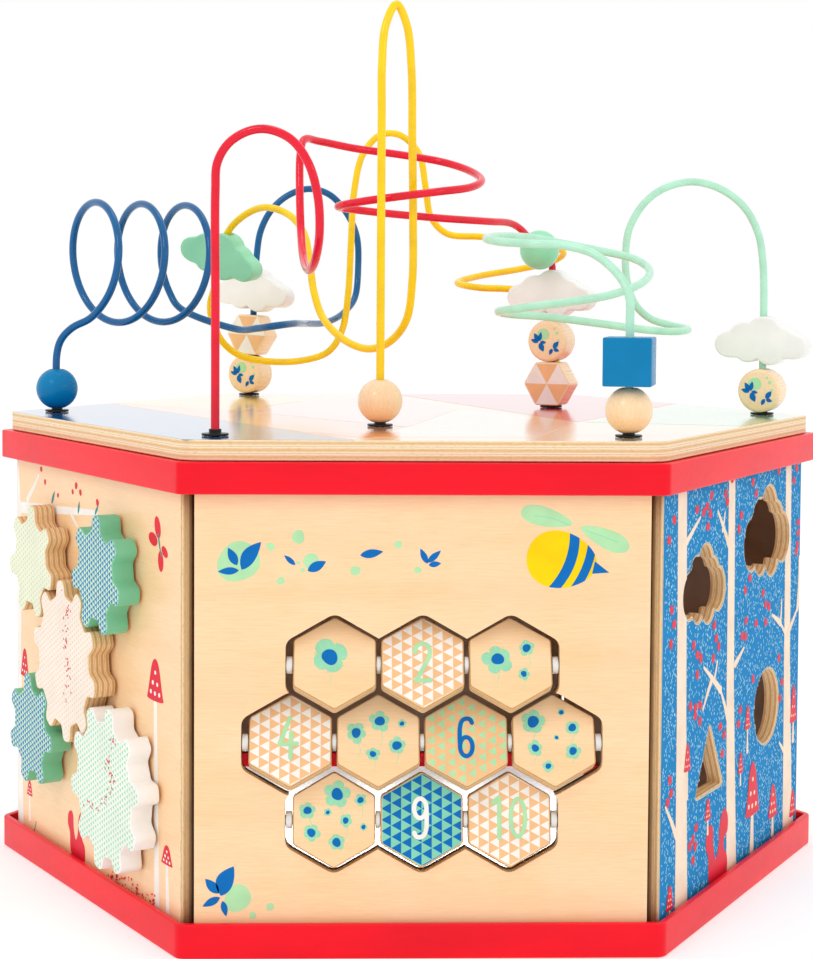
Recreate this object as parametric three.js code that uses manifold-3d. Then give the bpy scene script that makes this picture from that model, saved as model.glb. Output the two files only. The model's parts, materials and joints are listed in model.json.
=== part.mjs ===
// Hexagonal wooden activity centre with a bead maze, in millimetres, +Z up.
// The origin is on the floor under the centre of the box; the honeycomb wall faces -Y.
import * as THREE from 'three';
import { mergeVertices } from 'three/addons/utils/BufferGeometryUtils.js';
import Module from 'manifold-3d';

const wasm = await Module();
wasm.setup();

// ---- Driving dimensions -------------------------------------------------
const BAND_SIDE = 250; // side of the hexagon round the red frames
const BAND_APOTHEM = BAND_SIDE * Math.cos(Math.PI / 6);
const GAP = 0.3; // clearance between pieces that touch

const BOTTOM_FRAME_TOP = 18;
const TOP_FRAME_BOTTOM = 239;
const TOP_FRAME_TOP = 255.5;
const WEB = 4; // thickness of the flat of a frame's channel
const LIP = 3.8; // thickness of a frame's outer lip
const INNER_LIP_HEIGHT = 6;
const TOP_FRAME_BORE = 186; // apothem of the opening in the top frame

const WALL_APOTHEM = 210; // outer faces of the six plywood walls
const WALL_THICKNESS = 9;
const WALL_INNER = WALL_APOTHEM - WALL_THICKNESS;
const WALL_HALF_WIDTH = 117; // at the outer face
const WALL_INNER_HALF_WIDTH = 115.3; // at the inner face
const WALL_EDGE_RADIUS = 3;

const BOARD_THICKNESS = 10.7;
const BOARD_INSET = 4;
const BOARD_CORNER_RADIUS = 10;
const BOARD_BOTTOM = TOP_FRAME_TOP + GAP;
const BOARD_TOP = BOARD_BOTTOM + BOARD_THICKNESS;

const TILE_APOTHEM = 21.25;
const TILE_PITCH = 45.2;
const TILE_ROW_STEP = 40.2;
const TILE_AXLE_DEPTH = WALL_APOTHEM - WALL_THICKNESS / 2;
const TILE_MIDDLE_ROW = 109.8; // height of the middle axle
const TILE_WINDOW_HALF_WIDTH = 25.2; // the six-sided hole behind each tile
const TILE_WINDOW_PEAK = 27.5;
const TILE_WINDOW_SHOULDER = 13;
const AXLE_RADIUS = 2.5;
const AXLE_HALF_LENGTH = 112;

const GEAR_THICKNESS = 12.5;
const GEAR_STANDOFF = 1.6;
const GEAR_MODULE = 8.3;
const GEAR_ADDENDUM = 4;
const GEAR_DEDENDUM = 5;

const WIRE_RADIUS = 2.3;
const BEAD_BORE = 3.9;
const BALL_RADIUS = 12.5;
const WIRE_HOLE = 2.9;
const GROMMET_FLANGE = 1.2;
const GROMMET_COLLAR = 3.3;
const GROMMET_HEIGHT = 3.4;

// ---- Colours ------------------------------------------------------------
const RED = 0xf5122d;
const WOOD = 0xf7cf9d;
const PALE_WOOD = 0xf0d9b5;
const BLUE = 0x0083be;
const PRINT_BLUE = 0x2b8fd0;
const MINT = 0xb8ebcf;
const GREEN = 0x8ed8a8;
const YELLOW = 0xffd400;
const WHITE = 0xf4f2f0;
const BLACK = 0x141212;
const STEEL = 0xb9bcc0;

// ---- Solids and booleans --------------------------------------------------
function toSolid(geometry) {
  const bare = geometry.clone();
  bare.deleteAttribute('normal');
  bare.deleteAttribute('uv');
  const merged = mergeVertices(bare, 1e-4);
  const mesh = new wasm.Mesh({
    numProp: 3,
    vertProperties: new Float32Array(merged.attributes.position.array),
    triVerts: new Uint32Array(merged.index.array),
  });
  return new wasm.Manifold(mesh);
}

function toGeometry(solid) {
  const mesh = solid.getMesh();
  const geometry = new THREE.BufferGeometry();
  geometry.setAttribute('position', new THREE.BufferAttribute(mesh.vertProperties, 3));
  geometry.setIndex(new THREE.BufferAttribute(mesh.triVerts, 1));
  geometry.computeVertexNormals();
  return geometry;
}

function cut(body, tools) {
  let solid = toSolid(body);
  for (const tool of tools) {
    solid = solid.subtract(toSolid(tool));
  }
  return toGeometry(solid);
}

function cylinderAlong(axis, radius, length, segments) {
  const geometry = new THREE.CylinderGeometry(radius, radius, length, segments);
  if (axis === 'x') geometry.rotateZ(Math.PI / 2);
  if (axis === 'z') geometry.rotateX(Math.PI / 2);
  return geometry;
}

// A closed profile of [radius, z] points turned about Z.
function turned(profile, segments) {
  const points = profile.map(([radius, z]) => new THREE.Vector2(radius, z));
  points.push(points[0].clone());
  const geometry = new THREE.LatheGeometry(points, segments);
  return geometry.rotateX(Math.PI / 2);
}

// A hexagonal ring with mitred corners, from [apothem, z] points.
function hexagonRing(profile) {
  const corner = 1 / Math.cos(Math.PI / 6);
  const ring = turned(profile.map(([apothem, z]) => [apothem * corner, z]), 6);
  return ring.rotateZ(Math.PI / 2);
}

// An outline with its corners rounded; points run anticlockwise.
function roundedOutline(points, radius) {
  const shape = new THREE.Shape();
  points.forEach(([x, y], i) => {
    const corner = new THREE.Vector2(x, y);
    const before = new THREE.Vector2(...points[(i + points.length - 1) % points.length]);
    const after = new THREE.Vector2(...points[(i + 1) % points.length]);
    const start = corner.clone().add(before.sub(corner).setLength(radius));
    const end = corner.clone().add(after.sub(corner).setLength(radius));
    if (i === 0) {
      shape.moveTo(start.x, start.y);
    } else {
      shape.lineTo(start.x, start.y);
    }
    shape.quadraticCurveTo(corner.x, corner.y, end.x, end.y);
  });
  shape.closePath();
  return shape;
}

function polygonShape(points) {
  return new THREE.Shape(points.map(([x, y]) => new THREE.Vector2(x, y)));
}

// A flat plate standing in the XZ plane, from yFront back to yFront + thickness.
function plate(shape, thickness, yFront, curveSegments = 3, bevel = 0) {
  const geometry = new THREE.ExtrudeGeometry(shape, {
    depth: thickness - 2 * bevel,
    curveSegments,
    bevelEnabled: bevel > 0,
    bevelSize: bevel,
    bevelThickness: bevel,
    bevelOffset: -bevel,
    bevelSegments: 1,
  });
  geometry.rotateX(Math.PI / 2);
  return geometry.translate(0, yFront + thickness - bevel, 0);
}

function hexagonPoints(apothem, pointUp) {
  const radius = apothem / Math.cos(Math.PI / 6);
  const turn = pointUp ? Math.PI / 2 : 0;
  return Array.from({ length: 6 }, (_, i) => {
    const angle = turn + (i * Math.PI) / 3;
    return [radius * Math.cos(angle), radius * Math.sin(angle)];
  });
}

// A cloud outline: the outer edge of overlapping round lobes, about one unit wide.
const CLOUD_LOBES = [
  [-0.33, -0.03, 0.17],
  [-0.17, 0.08, 0.17],
  [0.03, 0.14, 0.18],
  [0.2, 0.04, 0.16],
  [0.34, -0.05, 0.16],
  [0.1, -0.13, 0.15],
  [-0.14, -0.12, 0.13],
];

function cloudOutline(width, height, steps = 36) {
  const points = [];
  for (let i = 0; i < steps; i += 1) {
    const angle = (2 * Math.PI * i) / steps;
    const dir = [Math.cos(angle), Math.sin(angle)];
    let reach = 0;
    for (const [x, y, r] of CLOUD_LOBES) {
      const along = x * dir[0] + y * dir[1];
      const aside = x * dir[1] - y * dir[0];
      if (Math.abs(aside) < r) {
        reach = Math.max(reach, along + Math.sqrt(r * r - aside * aside));
      }
    }
    points.push([dir[0] * reach * width, (dir[1] * reach + 0.02) * height / 0.6]);
  }
  return polygonShape(points);
}

// ---- Scene graph helpers --------------------------------------------------
const part = new THREE.Group();

function addMesh(parent, name, geometry, color, roughness = 0.5, metalness = 0) {
  const material = new THREE.MeshStandardMaterial({ color, roughness, metalness });
  const mesh = new THREE.Mesh(geometry, material);
  mesh.name = name;
  parent.add(mesh);
  return mesh;
}

// Each wall has a group turned so that its pieces are drawn as if on the front.
function wallGroup(sixths) {
  const group = new THREE.Group();
  group.rotation.z = (sixths * Math.PI) / 3;
  part.add(group);
  return group;
}

const FRONT = wallGroup(0);
const RIGHT = wallGroup(1);
const REAR_RIGHT = wallGroup(2);
const REAR = wallGroup(3);
const REAR_LEFT = wallGroup(4);
const LEFT = wallGroup(5);

// ---- Wire bases on the top board -------------------------------------------
const CORNER_BASES = [
  ['left', -216, 0],
  ['front_left', -108, -186],
  ['front_right', 108, -186],
  ['right', 216, 0],
  ['back_right', 108, 186],
  ['back_left', -108, 186],
];
const INNER_BASES = [
  ['inner_front', -21, -113],
  ['inner_right', 92, 62],
];
const ALL_BASES = [...CORNER_BASES, ...INNER_BASES];

// ---- Frames and board -----------------------------------------------------
function bottomFrame() {
  return hexagonRing([
    [BAND_APOTHEM, 0],
    [BAND_APOTHEM, BOTTOM_FRAME_TOP],
    [BAND_APOTHEM - LIP, BOTTOM_FRAME_TOP],
    [BAND_APOTHEM - LIP, WEB],
    [WALL_INNER - GAP, WEB],
    [WALL_INNER - GAP, WEB + INNER_LIP_HEIGHT],
    [WALL_INNER - 3, WEB + INNER_LIP_HEIGHT],
    [WALL_INNER - 3, 0],
  ]);
}

function topFrame() {
  const webBottom = TOP_FRAME_TOP - WEB;
  const ring = hexagonRing([
    [BAND_APOTHEM, TOP_FRAME_BOTTOM],
    [BAND_APOTHEM, TOP_FRAME_TOP],
    [TOP_FRAME_BORE, TOP_FRAME_TOP],
    [TOP_FRAME_BORE, webBottom],
    [WALL_INNER - 3, webBottom],
    [WALL_INNER - 3, webBottom - INNER_LIP_HEIGHT],
    [WALL_INNER - GAP, webBottom - INNER_LIP_HEIGHT],
    [WALL_INNER - GAP, webBottom],
    [BAND_APOTHEM - LIP, webBottom],
    [BAND_APOTHEM - LIP, TOP_FRAME_BOTTOM],
  ]);
  const wireHoles = CORNER_BASES.map(([, x, y]) => (
    cylinderAlong('z', WIRE_HOLE, WEB + 2, 10).translate(x, y, TOP_FRAME_TOP - WEB / 2)));
  return cut(ring, wireHoles);
}

function topBoard() {
  const outline = roundedOutline(hexagonPoints(BAND_APOTHEM - BOARD_INSET, false), BOARD_CORNER_RADIUS);
  const board = new THREE.ExtrudeGeometry(outline, {
    depth: BOARD_THICKNESS,
    curveSegments: 4,
    bevelEnabled: false,
  });
  board.translate(0, 0, BOARD_BOTTOM);
  const middle = BOARD_BOTTOM + BOARD_THICKNESS / 2;
  const wireHoles = ALL_BASES.map(([, x, y]) => (
    cylinderAlong('z', WIRE_HOLE, BOARD_THICKNESS + 2, 10).translate(x, y, middle)));
  return cut(board, wireHoles);
}

// ---- Walls ------------------------------------------------------------------
const WALL_BOTTOM = WEB + GAP;
const WALL_TOP = TOP_FRAME_TOP - WEB - GAP;

function blankWall() {
  const outer = -WALL_APOTHEM;
  const r = WALL_EDGE_RADIUS;
  const shape = new THREE.Shape();
  shape.moveTo(-WALL_INNER_HALF_WIDTH, -WALL_INNER);
  shape.lineTo(-WALL_HALF_WIDTH, outer + r);
  shape.quadraticCurveTo(-WALL_HALF_WIDTH, outer, -WALL_HALF_WIDTH + r, outer);
  shape.lineTo(WALL_HALF_WIDTH - r, outer);
  shape.quadraticCurveTo(WALL_HALF_WIDTH, outer, WALL_HALF_WIDTH, outer + r);
  shape.lineTo(WALL_INNER_HALF_WIDTH, -WALL_INNER);
  shape.closePath();
  const wall = new THREE.ExtrudeGeometry(shape, {
    depth: WALL_TOP - WALL_BOTTOM,
    curveSegments: 3,
    bevelEnabled: false,
  });
  return wall.translate(0, 0, WALL_BOTTOM);
}

function wall(openings = []) {
  return cut(blankWall(), openings);
}

// A cutting tool with the given outline that runs right through a wall.
function throughWall(shape, x, z, curveSegments = 4) {
  return plate(shape, WALL_THICKNESS + 4, -WALL_APOTHEM - 2, curveSegments).translate(x, 0, z);
}

// ---- Honeycomb wall ---------------------------------------------------------
const TILE_ROWS = [
  { name: 'upper', z: TILE_MIDDLE_ROW + TILE_ROW_STEP, count: 3, tilt: 26, first: 1 },
  { name: 'middle', z: TILE_MIDDLE_ROW, count: 4, tilt: 26, first: 4 },
  { name: 'lower', z: TILE_MIDDLE_ROW - TILE_ROW_STEP, count: 3, tilt: 12, first: 8 },
];

function tilePlaces(row) {
  return Array.from({ length: row.count }, (_, i) => (i - (row.count - 1) / 2) * TILE_PITCH);
}

function tileWindowOutline() {
  const w = TILE_WINDOW_HALF_WIDTH;
  const peak = TILE_WINDOW_PEAK;
  const shoulder = TILE_WINDOW_SHOULDER;
  return roundedOutline([[0, peak], [-w, shoulder], [-w, -shoulder], [0, -peak],
    [w, -shoulder], [w, shoulder]], 4);
}

// The axles run in holes drilled right across the wall from its edges.
function frontWall() {
  const windows = TILE_ROWS.flatMap((row) => tilePlaces(row).map((x) => (
    throughWall(tileWindowOutline(), x, row.z, 3))));
  const bores = TILE_ROWS.map((row) => (
    cylinderAlong('x', AXLE_RADIUS + GAP, 3 * WALL_HALF_WIDTH, 10).translate(0, -TILE_AXLE_DEPTH, row.z)));
  return wall([...windows, ...bores]);
}

function tile() {
  const outline = roundedOutline(hexagonPoints(TILE_APOTHEM, true), 1.5);
  const block = plate(outline, WALL_THICKNESS, -WALL_THICKNESS / 2, 1);
  return cut(block, [cylinderAlong('x', AXLE_RADIUS + 0.4, 3 * TILE_APOTHEM, 10)]);
}

function tileAxle(row) {
  return cylinderAlong('x', AXLE_RADIUS, 2 * AXLE_HALF_LENGTH, 10).translate(0, -TILE_AXLE_DEPTH, row.z);
}

function buildHoneycomb() {
  addMesh(FRONT, 'front_wall', frontWall(), WOOD, 0.45);
  for (const row of TILE_ROWS) {
    addMesh(FRONT, `tile_axle_${row.name}`, tileAxle(row), STEEL, 0.3, 1);
    tilePlaces(row).forEach((x, i) => {
      const mesh = addMesh(FRONT, `number_tile_${row.first + i}`, tile(), WOOD, 0.45);
      mesh.position.set(x, -TILE_AXLE_DEPTH, row.z);
      mesh.rotation.x = -THREE.MathUtils.degToRad(row.tilt);
    });
  }
}

// ---- Gear wall ----------------------------------------------------------------
const DRIVE_GEAR = { name: 'gear_centre', teeth: 10, x: -8.5, z: 133, phase: 24, color: 0xf6e2d3 };
const OTHER_GEARS = [
  { name: 'gear_upper_left', teeth: 7, toward: 134.7, color: 0xdfe6c4 },
  { name: 'gear_upper_right', teeth: 7, toward: 50.1, color: GREEN },
  { name: 'gear_lower_left', teeth: 7, toward: 223.7, color: GREEN },
  { name: 'gear_lower_right', teeth: 10, toward: 312.8, color: WHITE },
];

function pitchRadius(teeth) {
  return (GEAR_MODULE * teeth) / 2;
}

// Where a gear sits when it meshes with the centre gear in the given direction, and the
// angle of one of its teeth, in degrees anticlockwise from +X of the wall.
function meshed(gear) {
  const distance = pitchRadius(DRIVE_GEAR.teeth) + pitchRadius(gear.teeth);
  const angle = THREE.MathUtils.degToRad(gear.toward);
  const drivePitch = 360 / DRIVE_GEAR.teeth;
  const driven = (gear.toward - DRIVE_GEAR.phase) / drivePitch;
  const phase = gear.toward + 180 - (360 / gear.teeth) * (0.5 - driven);
  return {
    ...gear,
    x: DRIVE_GEAR.x + distance * Math.cos(angle),
    z: DRIVE_GEAR.z + distance * Math.sin(angle),
    phase,
  };
}

const GEARS = [DRIVE_GEAR, ...OTHER_GEARS.map(meshed)];

// Rounded block teeth: a flattened cosine wave round the pitch circle.
function gearOutline({ teeth, phase }) {
  const steps = teeth * 10;
  const points = [];
  for (let i = 0; i < steps; i += 1) {
    const angle = (2 * Math.PI * i) / steps;
    const wave = Math.tanh(2.6 * (Math.cos(teeth * angle) - 0.22));
    const radius = pitchRadius(teeth) + (wave > 0 ? GEAR_ADDENDUM : GEAR_DEDENDUM) * wave;
    const turn = angle + THREE.MathUtils.degToRad(phase);
    points.push([radius * Math.cos(turn), radius * Math.sin(turn)]);
  }
  return polygonShape(points);
}

function gear(spec) {
  const front = -WALL_APOTHEM - GEAR_STANDOFF - GEAR_THICKNESS;
  const disc = plate(gearOutline(spec), GEAR_THICKNESS, front);
  const boss = new THREE.CylinderGeometry(9, 9, GEAR_STANDOFF, 12);
  boss.translate(0, -WALL_APOTHEM - GAP - GEAR_STANDOFF / 2, 0);
  const bore = new THREE.CylinderGeometry(2.7, 2.7, 10, 8);
  bore.translate(0, -WALL_APOTHEM - GEAR_STANDOFF - 3, 0);
  const whole = toSolid(disc).add(toSolid(boss)).subtract(toSolid(bore));
  return toGeometry(whole);
}

// A shoulder bolt screwed into the gear from behind, which turns with it.
function gearBolt() {
  const shoulder = WALL_THICKNESS + 0.4;
  const profile = [[0, 0], [7, 0], [7, 2.5], [3.5, 2.5], [3.5, 2.5 + shoulder], [2.3, 2.5 + shoulder],
    [2.3, shoulder + 9], [0, shoulder + 9]];
  const bolt = turned(profile, 8).rotateX(Math.PI / 2);
  return bolt.translate(0, -WALL_INNER + GAP + 2.5, 0);
}

function buildGears() {
  const holes = GEARS.map(({ x, z }) => {
    const hole = new THREE.CylinderGeometry(3.9, 3.9, WALL_THICKNESS + 4, 12);
    return hole.translate(x, -WALL_APOTHEM + WALL_THICKNESS / 2, z);
  });
  addMesh(LEFT, 'gear_wall', wall(holes), WOOD, 0.45);
  for (const spec of GEARS) {
    const mesh = addMesh(LEFT, spec.name, gear(spec), spec.color, 0.5);
    mesh.position.set(spec.x, 0, spec.z);
    const bolt = addMesh(LEFT, `${spec.name}_bolt`, gearBolt(), STEEL, 0.35, 1);
    bolt.position.set(spec.x, 0, spec.z);
  }
}

// ---- Shape-sorter wall ----------------------------------------------------------
function sorterWall() {
  const holes = [
    throughWall(cloudOutline(66, 43), -53.5, 181),
    throughWall(cloudOutline(82, 53), 53, 198),
    throughWall(roundedOutline([[-21, 0], [21, 0], [0, 36.5]], 2), -42, 68),
  ];
  const round = new THREE.CylinderGeometry(21.7, 21.7, WALL_THICKNESS + 4, 24);
  holes.push(round.translate(55.5, -WALL_APOTHEM + WALL_THICKNESS / 2, 97.5));
  return wall(holes);
}

// ---- Slide-track wall -------------------------------------------------------------
const SLOT_HALF_HEIGHT = 4;
const SLOTS = [
  { name: 'upper', z: 135, from: -70, to: 75, knob: -60 },
  { name: 'lower', z: 73, from: -70, to: 75, knob: -60 },
];

function slotOutline(length) {
  const half = length / 2 - SLOT_HALF_HEIGHT;
  const shape = new THREE.Shape();
  shape.absarc(half, 0, SLOT_HALF_HEIGHT, -Math.PI / 2, Math.PI / 2);
  shape.absarc(-half, 0, SLOT_HALF_HEIGHT, Math.PI / 2, 1.5 * Math.PI);
  shape.closePath();
  return shape;
}

// A turned knob whose stem runs through the slot to a keeper disc behind the wall.
function slideKnob() {
  const behind = WALL_THICKNESS + 1;
  const knob = turned([[0, -16], [10, -16], [13, -13], [13, -4], [11.5, -1], [3.4, -1],
    [3.4, behind], [8, behind], [8, behind + 2.5], [0, behind + 2.5]], 16);
  return knob.rotateX(-Math.PI / 2).translate(0, -WALL_APOTHEM, 0);
}

function buildSlideTracks() {
  const openings = SLOTS.map(({ z, from, to }) => (
    throughWall(slotOutline(to - from), (from + to) / 2, z, 5)));
  addMesh(REAR_LEFT, 'rear_left_wall', wall(openings), WOOD, 0.45);
  for (const slot of SLOTS) {
    const knob = addMesh(REAR_LEFT, `slide_knob_${slot.name}`, slideKnob(), RED, 0.35);
    knob.position.set(slot.knob, 0, slot.z);
  }
}

// ---- Wires -----------------------------------------------------------------------
const WIRE_FOOT = {
  corner: TOP_FRAME_TOP - WEB - 5,
  inner: BOARD_BOTTOM - 5,
};

const RED_ROUTE = [
  [-108, -186, WIRE_FOOT.corner], [-108, -186, 290], [-108, -186, 340], [-108, -187, 394],
  [-107, -188, 408], [-101, -190, 418], [-91, -192, 424], [-81, -194, 425], [-69, -196, 420],
  [-60, -198, 408], [-55, -197, 391], [-54, -192, 374], [-56, -176, 360], [-60, -148, 353],
  [-64, -112, 360], [-66, -88, 376], [-67, -76, 399], [-67, -68, 419], [-65, -57, 429],
  [-56, -42, 429], [-35, -26, 426], [-8, -18, 423], [16, -20, 419], [32, -36, 413],
  [38, -60, 406], [30, -80, 401], [12, -94, 398], [-10, -98, 395], [-33, -90, 392],
  [-45, -72, 390], [-37, -54, 389], [-15, -42, 387], [16, -26, 385], [47, 2, 384],
  [62, 24, 383.5], [68.5, 32, 380.5], [75, 40.5, 374.5], [82.5, 50, 367.5], [88.2, 57.2, 363],
  [91.5, 61.3, 359], [92, 62, 355], [92, 62, 340], [92, 62, 290], [92, 62, WIRE_FOOT.inner],
];

const MINT_ROUTE = [
  [108, -186, WIRE_FOOT.corner], [108, -186, 290], [108, -186, 328], [108, -184, 339],
  [105, -180, 348], [99, -174, 356], [90, -167, 363], [76, -160, 367], [58, -154, 368],
  [44, -142, 369], [37, -120, 371], [45, -94, 373], [66, -66, 373], [87, -50, 370],
  [110, -40, 366], [128, -43, 362], [135, -58, 357], [134, -78, 352], [124, -102, 346],
  [104, -120, 340], [77, -131, 336], [55, -130, 333], [45, -110, 331], [53, -84, 329],
  [78, -62, 327], [110, -46, 323], [141, -36, 319], [161, -20, 318], [169, -2, 319],
  [161, 10, 321], [148, 11, 325], [138, 8, 334], [132, 4, 350], [131, 2, 367], [133, 0, 381],
  [142, 0, 396], [154, 0, 405], [171, 0, 409], [188, 0, 405], [203, 0, 394], [212, 0, 378],
  [215, 0, 362], [216, 0, 345], [216, 0, 300], [216, 0, WIRE_FOOT.corner],
];

const YELLOW_ROUTE = [
  [-21, -113, WIRE_FOOT.inner], [-21, -113, 300], [-21, -113, 380], [-21, -113, 440],
  [-21, -113, 466], [-19, -110, 489], [-13, -106, 501], [-7, -100, 490], [-4, -92, 466],
  [-3, -82, 428], [-2, -74, 382], [-2, -67, 348], [-5, -58, 325], [-14, -46, 312],
  [-26, -34, 307], [-40, -18, 311], [-54, 2, 324], [-60, 14, 340], [-63, 26, 359],
  [-67, 40, 377], [-77, 56, 389], [-93, 72, 394], [-107, 85, 389], [-118, 95, 378],
  [-122, 99, 362], [-126, 103, 346], [-130, 106, 328], [-124, 110, 309], [-113, 117, 298],
  [-95, 126, 293], [-70, 137, 293], [-52, 144, 299], [-43, 148, 313], [-39, 150, 337],
  [-37, 152, 375], [-35, 153, 409], [-29, 155, 434], [-17, 157, 447], [-4, 158, 447],
  [9, 160, 435], [14, 161, 412], [18, 162, 391], [29, 163, 380], [52, 163, 378],
  [80, 165, 376], [103, 173, 372], [112, 184, 367], [104, 195, 361], [82, 194, 356],
  [53, 178, 351], [36, 152, 346], [50, 132, 343], [73, 132, 342], [93, 148, 337],
  [105, 172, 325], [108, 185, 308], [108, 186, 290], [108, 186, WIRE_FOOT.corner],
];

// The blue wire's three loops: a coil whose axis runs rightwards and away from the front.
const COIL = {
  start: [-201, 10, 357.5], // axis point level with the first loop's near side
  radius: 37,
  heading: 40.6, // degrees from +X towards +Y
  pitch: 33.8,
  from: -50, // degrees round the coil, 0 at the near side and 90 at the top
  to: 950,
  step: 20,
};

function coilRoute() {
  const heading = THREE.MathUtils.degToRad(COIL.heading);
  const axis = [Math.cos(heading), Math.sin(heading)];
  const near = [Math.sin(heading), -Math.cos(heading)];
  const points = [];
  for (let turn = COIL.from; turn <= COIL.to; turn += COIL.step) {
    const angle = THREE.MathUtils.degToRad(turn);
    const along = (COIL.pitch * turn) / 360;
    const side = COIL.radius * Math.cos(angle);
    points.push([
      COIL.start[0] + axis[0] * along + near[0] * side,
      COIL.start[1] + axis[1] * along + near[1] * side,
      COIL.start[2] + COIL.radius * Math.sin(angle),
    ]);
  }
  return points;
}

const BLUE_ROUTE = [
  [-216, 0, WIRE_FOOT.corner], [-216, 0, 275], [-216, 0, 302], [-213, -1, 311],
  [-206, -3, 318], [-196, -6, 323],
  ...coilRoute(),
  [-111, 63, 316], [-96, 40, 317], [-84, 27, 319], [-74, 42, 320], [-66, 90, 319],
  [-54, 130, 319], [-42, 162, 325], [-34, 180, 336], [-32, 187, 355], [-33, 188, 378],
  [-40, 188, 394], [-52, 187, 407], [-66, 186, 411], [-80, 186, 407], [-92, 186, 397],
  [-100, 186, 382], [-103, 186, 363], [-104.2, 186, 340], [-106.3, 186, 300],
  [-107.8, 186, 276], [-108, 186, 270], [-108, 186, 262], [-108, 186, WIRE_FOOT.corner],
];

function wire(route, stepLength) {
  const points = route.map((point) => new THREE.Vector3(...point));
  const curve = new THREE.CatmullRomCurve3(points, false, 'centripetal');
  const steps = Math.round(curve.getLength() / stepLength);
  const section = new THREE.Shape();
  section.absarc(0, 0, WIRE_RADIUS, 0, 2 * Math.PI);
  return new THREE.ExtrudeGeometry(section, { steps, extrudePath: curve, curveSegments: 3 });
}

// A flange on the board with a collar that reaches into the lowest bead's bore.
function grommet() {
  const flange = GROMMET_FLANGE;
  return turned([[2.65, 0], [7.1, 0], [7.1, flange], [GROMMET_COLLAR, flange],
    [GROMMET_COLLAR, GROMMET_HEIGHT], [2.65, GROMMET_HEIGHT]], 10);
}

function buildWires() {
  addMesh(part, 'wire_red', wire(RED_ROUTE, 9), RED, 0.3);
  addMesh(part, 'wire_mint', wire(MINT_ROUTE, 11), MINT, 0.3);
  addMesh(part, 'wire_yellow', wire(YELLOW_ROUTE, 11), YELLOW, 0.3);
  addMesh(part, 'wire_blue', wire(BLUE_ROUTE, 11), 0x1468a5, 0.3);
  for (const [name, x, y] of ALL_BASES) {
    addMesh(part, `grommet_${name}`, grommet(), BLACK, 0.4).position.set(x, y, BOARD_TOP + GAP);
  }
}

// ---- Beads -----------------------------------------------------------------------
const DISC_RADIUS = 13.3;
const DISC_THICKNESS = 18;
const HEXAGON_APOTHEM = 13.8;
const HEXAGON_THICKNESS = 16;
const CUBE_SIDE = 25.5;
const CLOUD_WIDTH = 58;
const CLOUD_HEIGHT = 30;
const CLOUD_THICKNESS = 14;
const BEAD_TURN = -27; // degrees that the flat beads face towards the left

function bored(geometry) {
  return cut(geometry, [cylinderAlong('z', BEAD_BORE, 60, 8)]);
}

function ballBead() {
  return bored(new THREE.SphereGeometry(BALL_RADIUS, 14, 9).rotateX(Math.PI / 2));
}

function discBead() {
  const half = DISC_THICKNESS / 2;
  const profile = [[0, -half], [10, -half], [DISC_RADIUS, 4 - half], [DISC_RADIUS, half - 4],
    [10, half], [0, half]];
  return bored(turned(profile, 18).rotateX(Math.PI / 2));
}

function hexagonBead() {
  const outline = polygonShape(hexagonPoints(HEXAGON_APOTHEM, false));
  return bored(plate(outline, HEXAGON_THICKNESS, -HEXAGON_THICKNESS / 2));
}

function cubeBead() {
  const half = CUBE_SIDE / 2;
  const outline = polygonShape([[-half, -half], [half, -half], [half, half], [-half, half]]);
  return bored(plate(outline, CUBE_SIDE, -half));
}

function cloudBead() {
  const outline = cloudOutline(CLOUD_WIDTH, CLOUD_HEIGHT, 32);
  return bored(plate(outline, CLOUD_THICKNESS, -CLOUD_THICKNESS / 2));
}

function addBead(name, geometry, color, [x, y, z], turn = 0, lean = [0, 0, 1]) {
  const mesh = addMesh(part, name, geometry.rotateZ(THREE.MathUtils.degToRad(turn)), color, 0.4);
  mesh.position.set(x, y, z);
  const up = new THREE.Vector3(0, 0, 1);
  mesh.quaternion.setFromUnitVectors(up, new THREE.Vector3(...lean).normalize());
}

const FLOOR = BOARD_TOP + GAP + GROMMET_FLANGE + GAP; // lowest point of the bottom beads

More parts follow.
